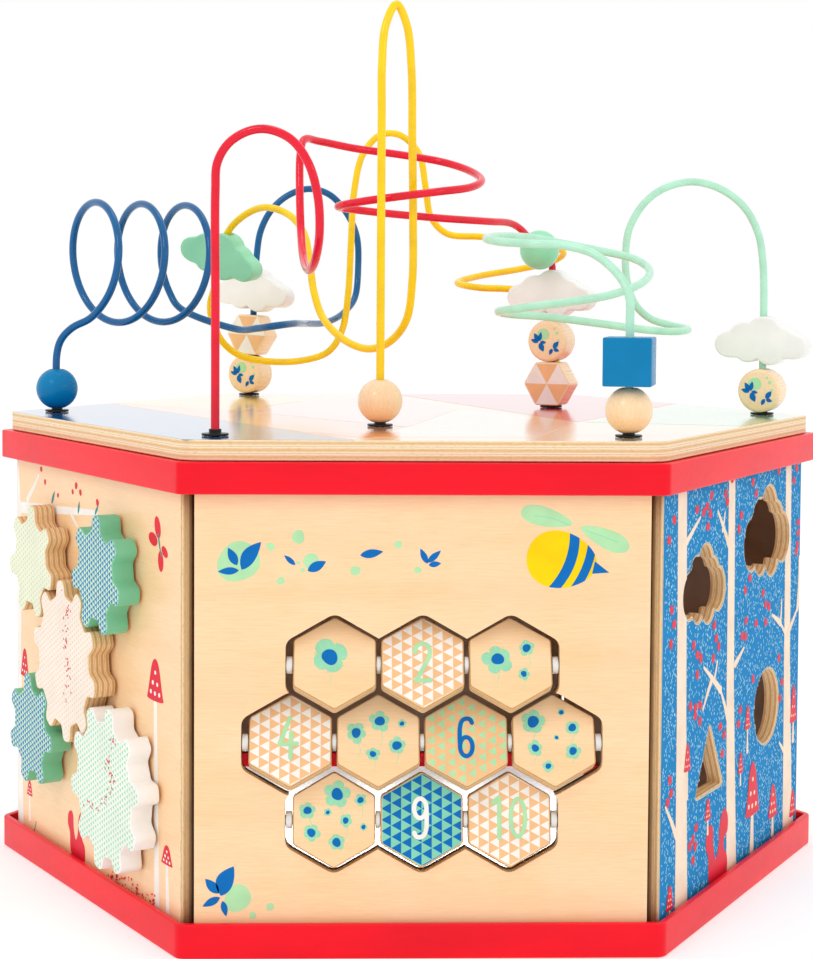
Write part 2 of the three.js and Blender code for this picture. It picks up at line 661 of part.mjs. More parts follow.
function buildBeads() {
  const cloudHalf = CLOUD_HEIGHT / 2;
  const ballUp = FLOOR + BALL_RADIUS;
  addBead('bead_blue_ball', ballBead(), BLUE, [-216, 0, ballUp]);
  addBead('bead_yellow_wire_ball', ballBead(), WOOD, [-21, -113, ballUp]);
  addBead('bead_mint_wire_ball', ballBead(), WOOD, [108, -186, ballUp]);
  const cubeUp = FLOOR + 2 * BALL_RADIUS + GAP + CUBE_SIDE / 2;
  addBead('bead_blue_cube', cubeBead(), BLUE, [108, -186, cubeUp], -14);

  const discUp = FLOOR + DISC_RADIUS;
  addBead('bead_right_disc', discBead(), WOOD, [216, 0, discUp], BEAD_TURN);
  const rightCloudUp = discUp + DISC_RADIUS + GAP + cloudHalf;
  addBead('bead_right_cloud', cloudBead(), WHITE, [216, 0, rightCloudUp], BEAD_TURN);

  const backLean = [5.1, 0, 97];
  const along = (z) => [-108 + (z - BOARD_TOP) * (backLean[0] / backLean[2]), 186, z];
  addBead('bead_back_left_disc', discBead(), WOOD, along(discUp), BEAD_TURN, backLean);
  const hexUp = discUp + DISC_RADIUS + GAP + HEXAGON_APOTHEM;
  addBead('bead_back_left_hexagon', hexagonBead(), WOOD, along(hexUp), BEAD_TURN, backLean);
  const leftCloudUp = hexUp + HEXAGON_APOTHEM + GAP + cloudHalf;
  addBead('bead_back_left_cloud', cloudBead(), WHITE, along(leftCloudUp), BEAD_TURN, backLean);
  addBead('bead_green_cloud', cloudBead(), GREEN, [-122, 99, 362], BEAD_TURN, [4, -4, 16]);

  const lowHexUp = FLOOR + HEXAGON_APOTHEM;
  addBead('bead_back_right_hexagon', hexagonBead(), WOOD, [92, 62, lowHexUp], BEAD_TURN);
  const upperDiscUp = lowHexUp + HEXAGON_APOTHEM + GAP + DISC_RADIUS;
  addBead('bead_back_right_disc', discBead(), WOOD, [92, 62, upperDiscUp], BEAD_TURN);
  const rearCloudUp = upperDiscUp + DISC_RADIUS + GAP + cloudHalf;
  addBead('bead_back_right_cloud', cloudBead(), WHITE, [92, 62, rearCloudUp], BEAD_TURN);
  addBead('bead_mint_ball', ballBead(), GREEN, [82.5, 50, 367.5], 0, [-13.2, -16.7, 11.5]);
}

// ---- Assembly ---------------------------------------------------------------------
addMesh(part, 'bottom_frame', bottomFrame(), RED, 0.35);
addMesh(part, 'top_frame', topFrame(), RED, 0.35);
addMesh(part, 'top_board', topBoard(), PALE_WOOD, 0.25);
buildHoneycomb();
buildGears();
addMesh(RIGHT, 'sorter_wall', sorterWall(), PRINT_BLUE, 0.4);
addMesh(REAR_RIGHT, 'rear_right_wall', wall(), WOOD, 0.45);
addMesh(REAR, 'rear_wall', wall(), WOOD, 0.45);
buildSlideTracks();
buildWires();
buildBeads();

export default part;
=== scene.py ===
"""The looks of a hexagonal wooden activity centre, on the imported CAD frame. Lengths are mm until placed."""
import json
import math
import random

import bmesh
import bpy
from mathutils import Matrix, Vector, geometry


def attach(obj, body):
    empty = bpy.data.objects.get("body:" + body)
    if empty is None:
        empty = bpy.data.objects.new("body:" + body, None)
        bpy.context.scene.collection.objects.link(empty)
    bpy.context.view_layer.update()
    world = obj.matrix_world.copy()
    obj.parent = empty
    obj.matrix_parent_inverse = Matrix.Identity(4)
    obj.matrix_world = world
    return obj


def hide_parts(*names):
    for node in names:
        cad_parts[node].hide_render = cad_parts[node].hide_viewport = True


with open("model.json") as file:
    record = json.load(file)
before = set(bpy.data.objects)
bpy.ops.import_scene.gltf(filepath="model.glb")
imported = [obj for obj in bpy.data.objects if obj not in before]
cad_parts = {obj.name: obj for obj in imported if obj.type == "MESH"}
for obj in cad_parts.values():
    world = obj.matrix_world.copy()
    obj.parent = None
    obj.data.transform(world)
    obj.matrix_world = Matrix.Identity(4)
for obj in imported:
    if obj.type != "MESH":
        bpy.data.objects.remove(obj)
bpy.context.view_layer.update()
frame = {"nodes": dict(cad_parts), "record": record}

MM = 0.001
BODY_OF = {node: body for body, nodes in frame["record"]["behaviour"]["bodies"].items() for node in nodes}

# ---- Sizes the CAD states ----
BAND_APOTHEM = 250 * math.cos(math.pi / 6)
FRAME_TOP, TOP_BAND_LOW, BOTTOM_BAND_TOP = 255.5, 239, 18
BOARD_BOTTOM, BOARD_TOP = 255.8, 266.5
WALL_FACE, WALL_THICK, WALL_HALF = 210, 9, 117
WALL_LOW, WALL_HIGH = 4.3, 251.2
WALL_LEAN = 1.7  # how far a wall's end leans in over the wall's thickness
TILE_PITCH, TILE_FLAT, TILE_HALF = 45.2, 21.25, 4.5
ROWS = [("upper", 150.0, 3, 1, 26), ("middle", 109.8, 4, 4, 26),
        ("lower", 69.6, 3, 8, 12)]  # height, number of tiles, first number, tilt in degrees
GEAR_MODULE, GEAR_THICK = 8.3, 12.5
WIRE_R, WIRE_HOLE = 2.3, 2.9
BALL_R, CUBE_HALF, BEAD_BORE = 12.5, 12.75, 3.9
BEAD_GAP = 0.3
CORNER_BASES = {"left": (-216, 0), "front_left": (-108, -186), "front_right": (108, -186),
                "right": (216, 0), "back_right": (108, 186), "back_left": (-108, 186)}
ALL_BASES = {**CORNER_BASES, "inner_front": (-21, -113), "inner_right": (92, 62)}


# ---- Points and outlines ----
def turns(n):
    """n even angles round a circle."""
    return [2 * math.pi * i / n for i in range(n)]


def arc(cx, cy, r, start, end, n, ry=None):
    """n steps along a circle from start to end in degrees, or along an ellipse if ry is given."""
    angles = [math.radians(start + (end - start) * i / n) for i in range(n + 1)]
    return [(cx + r * math.cos(t), cy + (ry or r) * math.sin(t)) for t in angles]


def disc(cx, cy, r, n=28, ry=None):
    return arc(cx, cy, r, 0, 360, n, ry)[:-1]


def hexagon(apothem, start=0):
    return arc(0, 0, apothem / math.cos(math.pi / 6), start, start + 360, 6)[:-1]


def rounded(points, radius, n=6):
    """An outline with its corners turned into quadratic curves."""
    out = []
    for i, p in enumerate(points):
        p = Vector(p)
        a = p + (Vector(points[i - 1]) - p).normalized() * radius
        b = p + (Vector(points[(i + 1) % len(points)]) - p).normalized() * radius
        for t in (j / n for j in range(n + 1)):
            out.append(tuple(a * (1 - t) ** 2 + p * 2 * t * (1 - t) + b * t * t))
    return out


CLOUD_LOBES = [(-0.33, -0.03, 0.17), (-0.17, 0.08, 0.17), (0.03, 0.14, 0.18), (0.2, 0.04, 0.16),
               (0.34, -0.05, 0.16), (0.1, -0.13, 0.15), (-0.14, -0.12, 0.13)]  # x, y, radius


def cloud(width, height):
    points = []
    for t in turns(180):
        dx, dy = math.cos(t), math.sin(t)
        reach = 0
        for x, y, r in CLOUD_LOBES:
            along, aside = x * dx + y * dy, x * dy - y * dx
            if abs(aside) < r:
                reach = max(reach, along + math.sqrt(r * r - aside * aside))
        points.append((dx * reach * width, (dy * reach + 0.02) * height / 0.6))
    return points


def shifted(loop, dx=0, dy=0, turn=0, scale=1):
    c, s = math.cos(math.radians(turn)) * scale, math.sin(math.radians(turn)) * scale
    return [(dx + x * c - y * s, dy + x * s + y * c) for x, y in loop]


def anticlockwise(loop):
    area = sum(a[0] * b[1] - b[0] * a[1] for a, b in zip(loop, loop[1:] + loop[:1]))
    return loop if area > 0 else loop[::-1]


def wound(loops):
    """One outline and then any holes, the outline anticlockwise and the holes clockwise."""
    return [anticlockwise(loops[0])] + [anticlockwise(h)[::-1] for h in loops[1:]]


def leaf(base, tip, width, bend=0.0, n=10):
    """A pointed leaf from its base to its tip."""
    b, along = Vector(base), Vector(tip) - Vector(base)
    side = Vector((-along.y, along.x)).normalized()
    left, right = [], []
    for f in (i / n for i in range(n + 1)):
        half = width / 2 * math.sin(math.pi * f ** 0.85) ** 0.9
        mid = b + along * f + side * bend * math.sin(math.pi * f)
        left.append(tuple(mid + side * half))
        right.append(tuple(mid - side * half))
    return left + right[-2:0:-1]


def heading(path, i):
    return (path[min(i + 1, len(path) - 1)] - path[max(i - 1, 0)]).normalized()


def stroke(points, width, taper=1.0):
    """The outline of a line with round ends, thinning from width to width * taper."""
    pts = [Vector(p) for p in points]
    left, right = [], []
    for i, p in enumerate(pts):
        d = heading(pts, i)
        side = Vector((-d.y, d.x)) * (width / 2 * (1 + (taper - 1) * i / (len(pts) - 1)))
        left.append(p + side)
        right.append(p - side)
    caps = []
    for centre, rim in ((pts[-1], left[-1]), (pts[0], right[0])):
        spoke = rim - centre
        angles = [math.atan2(spoke.y, spoke.x) - math.pi * k / 6 for k in range(1, 6)]
        caps.append([centre + Vector((math.cos(t), math.sin(t))) * spoke.length for t in angles])
    return [tuple(q) for q in left + caps[0] + right[::-1] + caps[1]]


def extended(points):
    """The points as vectors, with one more at each end for a curve to aim from and at."""
    p = [Vector(q) for q in points]
    return [p[0] * 2 - p[1]] + p + [p[-1] * 2 - p[-2]]


def curve_points(points, n=8):
    """A smooth open curve through points in the plane."""
    p = extended(points)
    out = []
    for i in range(1, len(p) - 2):
        for t in (j / n for j in range(n)):
            out.append(tuple(0.5 * (2 * p[i] + (p[i + 1] - p[i - 1]) * t
                                    + (2 * p[i - 1] - 5 * p[i] + 4 * p[i + 1] - p[i + 2]) * t * t
                                    + (3 * p[i] - p[i - 1] - 3 * p[i + 1] + p[i + 2]) * t ** 3)))
    return out + [tuple(p[-2])]


def tapered(a, b, wa, wb):
    """A slightly bowed line from a to b, from wa to wb wide."""
    mid = ((a[0] + b[0]) / 2 + (b[1] - a[1]) * 0.03, (a[1] + b[1]) / 2)
    return stroke(curve_points([a, mid, b]), wa, wb / wa)


def inside(point, loop):
    x, y = point
    hit = False
    for (x0, y0), (x1, y1) in zip(loop, loop[1:] + loop[:1]):
        if (y0 > y) != (y1 > y) and x < (x1 - x0) * (y - y0) / (y1 - y0) + x0:
            hit = not hit
    return hit


def clipped(loop, convex):
    """loop cut to a convex anticlockwise outline."""
    out = list(loop)
    for (x0, y0), (x1, y1) in zip(convex, convex[1:] + convex[:1]):
        source, out = out, []
        for p, q in zip(source, source[1:] + source[:1]):
            dp, dq = ((x1 - x0) * (y - y0) - (y1 - y0) * (x - x0) for x, y in (p, q))
            if dp >= 0:
                out.append(p)
            if dp * dq < 0:
                t = dp / (dp - dq)
                out.append((p[0] + (q[0] - p[0]) * t, p[1] + (q[1] - p[1]) * t))
        if len(out) < 3:
            return []
    return out


def inset(loop, d):
    out = []
    for i, p in enumerate(loop):
        p = Vector(p)
        a = (p - Vector(loop[i - 1])).normalized()
        b = (Vector(loop[(i + 1) % len(loop)]) - p).normalized()
        m = Vector((-a.y, a.x)) + Vector((-b.y, b.x))
        out.append(tuple(p + m / max(m.length_squared / 2, 0.5) * d))
    return out


# ---- Meshes ----
def add_object(name, verts, faces, materials, slots=None, smooth=None, matrix=None):
    mesh = bpy.data.meshes.new(name)
    mesh.from_pydata([tuple(c * MM for c in v) for v in verts], [], faces)
    for m in materials:
        mesh.materials.append(m)
    for i, polygon in enumerate(mesh.polygons):
        polygon.material_index = slots[i] if slots else 0
        polygon.use_smooth = smooth[i] if smooth else False
    mesh.validate()
    obj = bpy.data.objects.new(name, mesh)
    bpy.context.scene.collection.objects.link(obj)
    obj.matrix_world = matrix or Matrix.Identity(4)
    return obj


def weld(obj):
    bm = bmesh.new()
    bm.from_mesh(obj.data)
    bmesh.ops.remove_doubles(bm, verts=bm.verts, dist=1e-7)
    bm.to_mesh(obj.data)
    bm.free()
    return obj


def applied(obj):
    """Makes obj's modifiers part of its mesh."""
    bpy.context.view_layer.update()
    done = bpy.data.meshes.new_from_object(obj.evaluated_get(bpy.context.evaluated_depsgraph_get()))
    obj.modifiers.clear()
    obj.data = done
    return obj


def fill(loops, z, flip, verts, faces):
    """Triangulates an outline and its holes at height z."""
    start = len(verts)
    flat = [p for loop in loops for p in loop]
    verts.extend((x, y, z) for x, y in flat)
    for a, b, c in geometry.tessellate_polygon([[Vector((x, y, 0)) for x, y in loop] for loop in loops]):
        pa, pb, pc = flat[a], flat[b], flat[c]
        up = (pb[0] - pa[0]) * (pc[1] - pa[1]) - (pb[1] - pa[1]) * (pc[0] - pa[0]) > 0
        faces.append(tuple(start + k for k in ((a, b, c) if up != flip else (a, c, b))))


def grid(first, rows, n, closed=False):
    """Quads over rows of n points from vertex first, each row closed, and the rows too if closed is true."""
    return [(first + r * n + i, first + r * n + (i + 1) % n,
             first + (r + 1) % rows * n + (i + 1) % n, first + (r + 1) % rows * n + i)
            for r in range(rows if closed else rows - 1) for i in range(n)]


def plate(name, loops, z0, z1, bevel, materials, matrix=None, steps=3):
    """A slab between two heights with rounded rims. loops is one outline and then any holes.
    materials are for the top, the sides and the underside."""
    loops = wound(loops)
    bends = [math.pi / 2 * i / steps for i in range(steps + 1)]
    rings = [(bevel * (1 - math.sin(t)), z0 + bevel * (1 - math.cos(t))) for t in bends]
    rings += [(d, z0 + z1 - z) for d, z in rings[::-1]]
    verts, faces = [], []
    for loop in loops:
        first = len(verts)
        for d, z in rings:
            verts.extend((x, y, z) for x, y in inset(loop, d))
        faces += grid(first, len(rings), len(loop))
    slots, smooth = [1] * len(faces), [True] * len(faces)
    for z, flip, slot in ((z1, False, 0), (z0, True, 2)):
        fill([inset(loop, bevel) for loop in loops], z, flip, verts, faces)
        slots += [min(slot, len(materials) - 1)] * (len(faces) - len(slots))
    smooth += [False] * (len(faces) - len(smooth))
    return weld(add_object(name, verts, faces, materials, slots, smooth, matrix))


def lathe(name, profile, n, material, matrix=None):
    """A closed profile of (radius, z) points turned about z."""
    verts = [(r * math.cos(t), r * math.sin(t), z) for t in turns(n) for r, z in profile]
    faces = [(a, d, c, b) for a, b, c, d in grid(0, n, len(profile), True)]
    obj = weld(add_object(name, verts, faces, [material], smooth=[True] * len(faces), matrix=matrix))
    obj.data.set_sharp_from_angle(angle=math.radians(40))
    return obj


def tube(name, route, radius, material, step=2.5, sides=18):
    """A round wire along a centripetal Catmull-Rom curve through the route."""
    p = extended(route)
    path = []
    for i in range(1, len(p) - 2):
        p0, p1, p2, p3 = p[i - 1:i + 3]
        d = [max((b - a).length ** 0.5, 1e-6) for a, b in ((p0, p1), (p1, p2), (p2, p3))]
        m1 = ((p1 - p0) / d[0] - (p2 - p0) / (d[0] + d[1]) + (p2 - p1) / d[1]) * d[1]
        m2 = ((p2 - p1) / d[1] - (p3 - p1) / (d[1] + d[2]) + (p3 - p2) / d[2]) * d[1]
        n = max(2, math.ceil((p2 - p1).length / step))
        for t in (j / n for j in range(n)):
            path.append(p1 * (2 * t ** 3 - 3 * t * t + 1) + m1 * (t ** 3 - 2 * t * t + t)
                        + p2 * (-2 * t ** 3 + 3 * t * t) + m2 * (t ** 3 - t * t))
    path.append(p[-2])
    verts, side = [], Vector((1, 0, 0))
    for i, q in enumerate(path):
        along = heading(path, i)
        side = (side - along * side.dot(along)).normalized()
        other = along.cross(side)
        verts += [q + side * radius * math.cos(t) + other * radius * math.sin(t) for t in turns(sides)]
    faces = grid(0, len(path), sides)
    smooth = [True] * len(faces) + [False] * 2
    faces += [tuple(range(sides))[::-1], tuple(range(len(verts) - sides, len(verts)))]
    return add_object(name, verts, faces, [material], smooth=smooth)


# ---- Materials ----
def colour(code):
    """A hex colour as linear RGBA."""
    parts = [int(code[i:i + 2], 16) / 255 for i in (0, 2, 4)]
    return (*(v / 12.92 if v <= 0.04045 else ((v + 0.055) / 1.055) ** 2.4 for v in parts), 1)


class Paint:
    """A material with one Principled shader, and short ways to add nodes to it."""

    def __init__(self, name, base, rough, coat=0.0, coat_rough=0.12, metal=0.0, specular=0.28):
        self.material = bpy.data.materials.new(name)
        self.material.use_nodes = True
        self.nodes, self.links = self.material.node_tree.nodes, self.material.node_tree.links
        self.shader = self.nodes["Principled BSDF"].inputs
        self.base = colour(base)
        self.bumps = None
        for socket, value in (("Base Color", self.base), ("Roughness", rough), ("Coat Weight", coat),
                              ("Coat Roughness", coat_rough), ("Metallic", metal),
                              ("Specular IOR Level", specular)):
            self.shader[socket].default_value = value

    def put(self, value, socket):
        """Links another node's output to a socket, or sets the socket to a plain value."""
        if hasattr(value, "is_linked"):
            self.links.new(value, socket)
        else:
            socket.default_value = value

    def node(self, kind, **values):
        """A new node. Each value is one of its settings, or goes to the input of that name."""
        n = self.nodes.new("ShaderNode" + kind)
        for key, value in values.items():
            if hasattr(n, key):
                setattr(n, key, value)
            else:
                self.put(value, n.inputs[key.replace("_", " ")])
        return n

    def calc(self, operation, a, b):
        n = self.node("Math", operation=operation)
        self.put(a, n.inputs[0])
        self.put(b, n.inputs[1])
        return n.outputs[0]

    def coords(self, stretch=(1, 1, 1)):
        """Object coordinates in mm, stretched."""
        own = self.node("TexCoord").outputs["Object"]
        return self.node("Mapping", Vector=own, Scale=[s / MM for s in stretch]).outputs["Vector"]

    def noise(self, scale, stretch=(1, 1, 1), detail=4, rough=0.55):
        place = self.coords(stretch)
        return self.node("TexNoise", Vector=place, Scale=scale, Detail=detail, Roughness=rough).outputs["Fac"]

    def ramp(self, fac, stops):
        r = self.node("ValToRGB")
        while len(r.color_ramp.elements) < len(stops):
            r.color_ramp.elements.new(0.5)
        for e, (place, code) in zip(r.color_ramp.elements, stops):
            e.position = place
            e.color = colour(code) if isinstance(code, str) else (code, code, code, 1)
        self.links.new(fac, r.inputs["Fac"])
        return r.outputs["Color"]

    def mix(self, a, b, fac):
        m = self.node("Mix", data_type="RGBA")
        for socket, value in ((m.inputs[6], a), (m.inputs[7], b), (m.inputs[0], fac)):
            self.put(value, socket)
        return m.outputs[2]

    def fade(self, tone, other, fac, *stops):
        """tone with as much of the other colour as the stops give along fac."""
        return self.mix(tone, other, self.ramp(fac, stops))

    def darker(self, part):
        return tuple(c * part for c in self.base[:3]) + (1,)

    def bump(self, height, strength, distance):
        b = self.node("Bump", Height=height, Strength=strength, Distance=distance * MM)
        if self.bumps:
            self.links.new(self.bumps, b.inputs["Normal"])
        self.bumps = b.outputs["Normal"]
        self.links.new(self.bumps, self.shader["Normal"])

    def worn_edges(self, tone, code, width, amount):
        """Another tone along edges, where handling has rubbed the finish."""
        dot = self.node("VectorMath", operation="DOT_PRODUCT")
        self.links.new(self.node("Bevel", samples=4, Radius=width * MM).outputs["Normal"], dot.inputs[0])
        self.links.new(self.node("NewGeometry").outputs["Normal"], dot.inputs[1])
        return self.fade(tone, colour(code), dot.outputs["Value"], (0.90, amount), (0.995, 0.0))

    def finished(self, tone, fac=None, low=0.0, high=1.0):
        """The material in this tone, its roughness going from low to high along fac."""
        self.links.new(tone, self.shader["Base Color"])
        if fac:
            rough = self.node("MapRange", Value=fac, To_Min=low, To_Max=high)
            self.links.new(rough.outputs["Result"], self.shader["Roughness"])
        return self.material


def veneer(name, light, dark, gloss=0.32, coat=0.25, grain=(0.06, 1, 1)):
    """Lacquered birch: long fine grain, soft flame and pale blotches."""
    p = Paint(name, light, gloss, coat, 0.15)
    fine = p.noise(1.1, grain, 6, 0.7)
    tone = p.mix(p.base, p.ramp(fine, [(0.25, dark), (0.62, light)]), 0.5)
    tone = p.fade(tone, colour(dark), p.noise(0.05, grain, 3, 0.5), (0.42, 0.0), (0.78, 0.34))
    tone = p.fade(tone, colour("FFFFFF"), p.noise(0.02, detail=2, rough=0.5), (0.35, 0.06), (0.65, 0.0))
    p.bump(fine, 0.12, 0.15)
    return p.finished(tone, fine, gloss - 0.06, gloss + 0.10)


def ply(name, light, mid, glue, layer=1.5, painted_shade_code=None):
    """The cut edge of plywood: veneers of turned grain and thin glue lines, stacked along the object's z.
    A painted shade darkens the inner half of a wall's end, standing in for the shade in the gap where it
    meets the next wall."""
    p = Paint(name, light, 0.5)
    height = p.node("SeparateXYZ", Vector=p.coords()).outputs[2]
    wavy = p.calc("ADD", height, p.calc("MULTIPLY", p.noise(0.12, detail=2), 0.35))
    part = p.calc("DIVIDE", p.calc("PINGPONG", wavy, layer), layer)
    tone = p.ramp(part, [(0.0, glue), (0.07, light), (0.48, light), (0.54, mid), (0.94, mid), (1.0, glue)])
    fibres = p.noise(1.6, (0.25, 0.25, 1.4), 5, 0.7)
    tone = p.fade(tone, colour(glue), fibres, (0.48, 0.0), (0.75, 0.45))
    p.bump(fibres, 0.25, 0.2)
    # painted shade: the inner half of the end goes to the given dark colour
    if painted_shade_code:
        inward = p.node("MapRange", Value=height, From_Min=-0.72 * WALL_THICK, From_Max=-0.45 * WALL_THICK)
        tone = p.mix(colour(painted_shade_code), tone, inward.outputs["Result"])
    return p.finished(tone)


def lacquer(name, code, rough=0.3, coat=0.2, wear=0.14, specular=0.25):
    """Sprayed paint on wood: orange peel, faint unevenness and slightly rubbed edges."""
    p = Paint(name, code, rough, coat, specular=specular)
    tone = p.fade(p.base, p.darker(0.9), p.noise(0.05, detail=2), (0.3, 0.0), (0.75, 1.0))
    p.bump(p.noise(0.7, detail=3), 0.05, 0.3)
    tone = p.worn_edges(tone, "FFFFFF", 0.5, wear)
    return p.finished(tone, p.noise(0.3, detail=3), rough - 0.05, rough + 0.10)


def print_ink(name, code, gloss=0.38, coat=0.0):
    """Screen-printed ink with a faint dot grain and thin spots that let the wood tint it."""
    p = Paint(name, code, gloss, coat, specular=0.14)
    thin = p.noise(0.9, (1, 1, 0.4), 5, 0.7)
    tone = p.fade(p.base, colour("FFE9C8"), thin, (0.62, 0.0), (0.80, 0.12))
    tone = p.fade(tone, p.darker(0.86), p.noise(0.06, detail=2), (0.35, 0.0), (0.70, 0.8))
    p.bump(thin, 0.10, 0.08)
    return p.finished(tone, thin, gloss - 0.04, gloss + 0.08)


def plastic(name, code, rough=0.28, worn="55504E"):
    """Moulded plastic: slight flow shading, fine grain and rubbed edges."""
    p = Paint(name, code, rough, 0.05, 0.2, specular=0.2)
    tone = p.fade(p.base, p.darker(0.78), p.noise(0.015, (1, 1, 3), 3), (0.35, 0.0), (0.75, 0.7))
    p.bump(p.noise(2.2, detail=3), 0.06, 0.08)
    p.bump(p.noise(0.03, detail=1), 0.10, 0.8)
    return p.finished(p.worn_edges(tone, worn, 0.8, 0.35), p.noise(0.25), rough - 0.05, rough + 0.12)


def coated_wire(name, code):
    """Powder-coated steel wire with a soft peel."""
    p = Paint(name, code, 0.24, 0.5, 0.05, specular=0.12)
    p.bump(p.noise(0.35, detail=2), 0.04, 0.12)
    return p.finished(p.fade(p.base, p.darker(0.8), p.noise(0.08, detail=3), (0.4, 0.0), (0.7, 0.6)))


def brushed_metal(name, code, rough=0.28):
    p = Paint(name, code, rough, metal=1.0)
    lines = p.noise(2.5, (0.05, 1, 1), 5, 0.7)
    p.bump(lines, 0.08, 0.05)
    tone = p.fade(p.base, p.darker(0.6), lines, (0.45, 0.0), (0.75, 0.6))
    return p.finished(tone, lines, rough - 0.08, rough + 0.15)


RED_PLASTIC = plastic("red_plastic", "F5001F", worn="FF8A92")
NYLON = plastic("nylon", "E9E7E2", 0.35)
BLACK_PLASTIC = plastic("black_plastic", "121112", 0.22)
STEEL = brushed_metal("steel", "C9CBCE")
WALL_WOOD = veneer("wall_veneer", "FFD8A8", "EBB47C")
# the walls' inner faces: the same birch darkened as painted shade for the unlit inside of the box
INNER_WOOD_SHADE_PAINT = veneer("inner_veneer_shade_paint", "6E4A2A", "4E3018", 0.6, 0.0)
TILE_WOOD = veneer("tile_veneer", "FFD9A6", "EBB47C")
BEAD_WOOD = veneer("bead_wood", "FFE0B4", "EDBB86", 0.26, 0.5, (1, 1, 0.06))
BOARD_WOOD = veneer("board_veneer", "FFE4BE", "F0C48C", 0.14, 1.0)
PLY_EDGE = ply("ply_edge", "F3D3A4", "DDAF78", "8A5A33")
# wall ends and rims: ply with painted shade on the inner half, for the shade in the gaps between walls
WALL_EDGE = ply("wall_edge", "F3D3A4", "E3BC88", "A9784A", painted_shade_code="5C381D")
BOARD_EDGE = ply("board_edge", "F7E2C0", "EBC795", "A9784A", 1.78)
# cut ply darkened as painted shade, for window rims, axle bores and tile bores inside the box
EDGE_SHADE_PAINT = ply("edge_shade_paint", "4A2A15", "38200F", "1C0C04")
# cut ply made near white as painted light, for the lower windows' rims where the lit floor shows through
EDGE_LIGHT_PAINT = ply("edge_light_paint", "FBF3E6", "F6EAD6", "E2CDAE")
BLUE_PAINT = lacquer("blue_paint", "007EB4", 0.3, 0.1, specular=0.12)
GREEN_PAINT = lacquer("green_paint", "98E4B8")
WHITE_PAINT = lacquer("white_paint", "F8F6F2", 0.35, 0.4, wear=0.05)
KNOB_RED = lacquer("knob_paint", "E8203A")
SKY_PAINT = lacquer("sky_paint", "1A86C4", 0.55, 0.0, specular=0.06)
MINT_PAINT = lacquer("mint_paint", "CDE8C4", 0.38, 0.3)
GEAR_PINK = lacquer("gear_pink_paint", "F7EADC", 0.38, 0.3)
GEAR_CREAM = lacquer("gear_cream_paint", "F3EED2", 0.38, 0.3)
GEAR_WHITE = lacquer("gear_white_paint", "F4F6EC", 0.38, 0.1)
GEAR_WHITE_SIDE = lacquer("gear_white_side", "FFFDFA", 0.38, 0.1)
GEAR_GREEN_SIDE = lacquer("gear_green_side", "7CCCA2", 0.38, 0.1)
INK = {name: print_ink("ink_" + name, code) for name, code in {
    "blue": "006EBC", "sky": "2B8FD0", "pale_sky": "A6DCEB", "ocean": "0080BE", "teal": "2F8F93",
    "mint": "B5E6B0", "leaf": "9CE0B8", "aqua": "86D4B6", "white": "FBF6EE", "cream": "FBE3CA",
    "peach": "F9C48E", "yellow": "FFD500", "red": "E8253C"}.items()}
INK.update({"board_" + name: print_ink("board_" + name, code, 0.12, 1.0) for name, code in {
    "blue": "0A6DB5", "yellow": "FFE27A", "peach": "FFB98A", "orange": "FF9A4A", "red": "E8304A",
    "cream": "FFEBD0", "mint": "BDE6C0", "pink": "FFC9BD"}.items()})


# ---- Placing, cutting and printing ----
FACING = Matrix.Rotation(math.pi / 2, 4, "X")  # turns a piece's own z to the front
SIDEWAYS = Matrix.Rotation(math.pi / 2, 4, "Y")  # turns it to the right


def wall_plane(k, x=0.0, z=0.0, depth=WALL_FACE):
    """On wall k (0 is the front, counted anticlockwise from above): x runs along it, y up and z outward."""
    lay = Matrix(((1, 0, 0, x), (0, 0, -1, -depth), (0, 1, 0, z), (0, 0, 0, 1)))
    place = Matrix.Rotation(math.radians(60 * k), 4, "Z") @ lay
    place.translation *= MM
    return place


def upright(x, y, z, turn=0.0, lean=(0, 0, 1)):
    """A frame at (x, y, z) turned about Z, then leaned so that its z runs along lean."""
    swing = Vector((0, 0, 1)).rotation_difference(Vector(lean)).to_matrix().to_4x4()
    place = swing @ Matrix.Rotation(math.radians(turn), 4, "Z")
    place.translation = Vector((x, y, z)) * MM
    return place


def stand_for(obj, body, slot, *nodes):
    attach(obj, body)
    if nodes:
        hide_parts(*nodes)


def carve(obj, cutters):
    """Takes the cutters' volumes out of obj, gives the cut faces their material, and removes them."""
    for i, cutter in enumerate(cutters):
        mod = obj.modifiers.new(f"cut_{i}", "BOOLEAN")
        mod.operation, mod.solver, mod.object = "DIFFERENCE", "EXACT", cutter
        mod.material_mode = "TRANSFER"
    applied(obj)
    for cutter in cutters:
        bpy.data.objects.remove(cutter)
    return obj


def drill(radius, length, material, matrix, n=32):
    half = length / 2
    return lathe("drill", [(0, -half), (radius, -half), (radius, half), (0, half)], n, material, matrix)


def punch(loop, material, matrix, deep=14):
    return plate("punch", [loop], -deep, deep, 0.0, [material], matrix, steps=1)


def soften(obj, width):
    """Small rounded edges, made part of the mesh."""
    mod = obj.modifiers.new("edges", "BEVEL")
    mod.width, mod.segments, mod.limit_method = width * MM, 2, "ANGLE"
    mod.angle_limit = math.radians(35)
    mod.use_clamp_overlap = True
    return applied(obj)


INK_THICK, INK_LIFT, INK_LAYER = 0.05, 0.008, 0.052


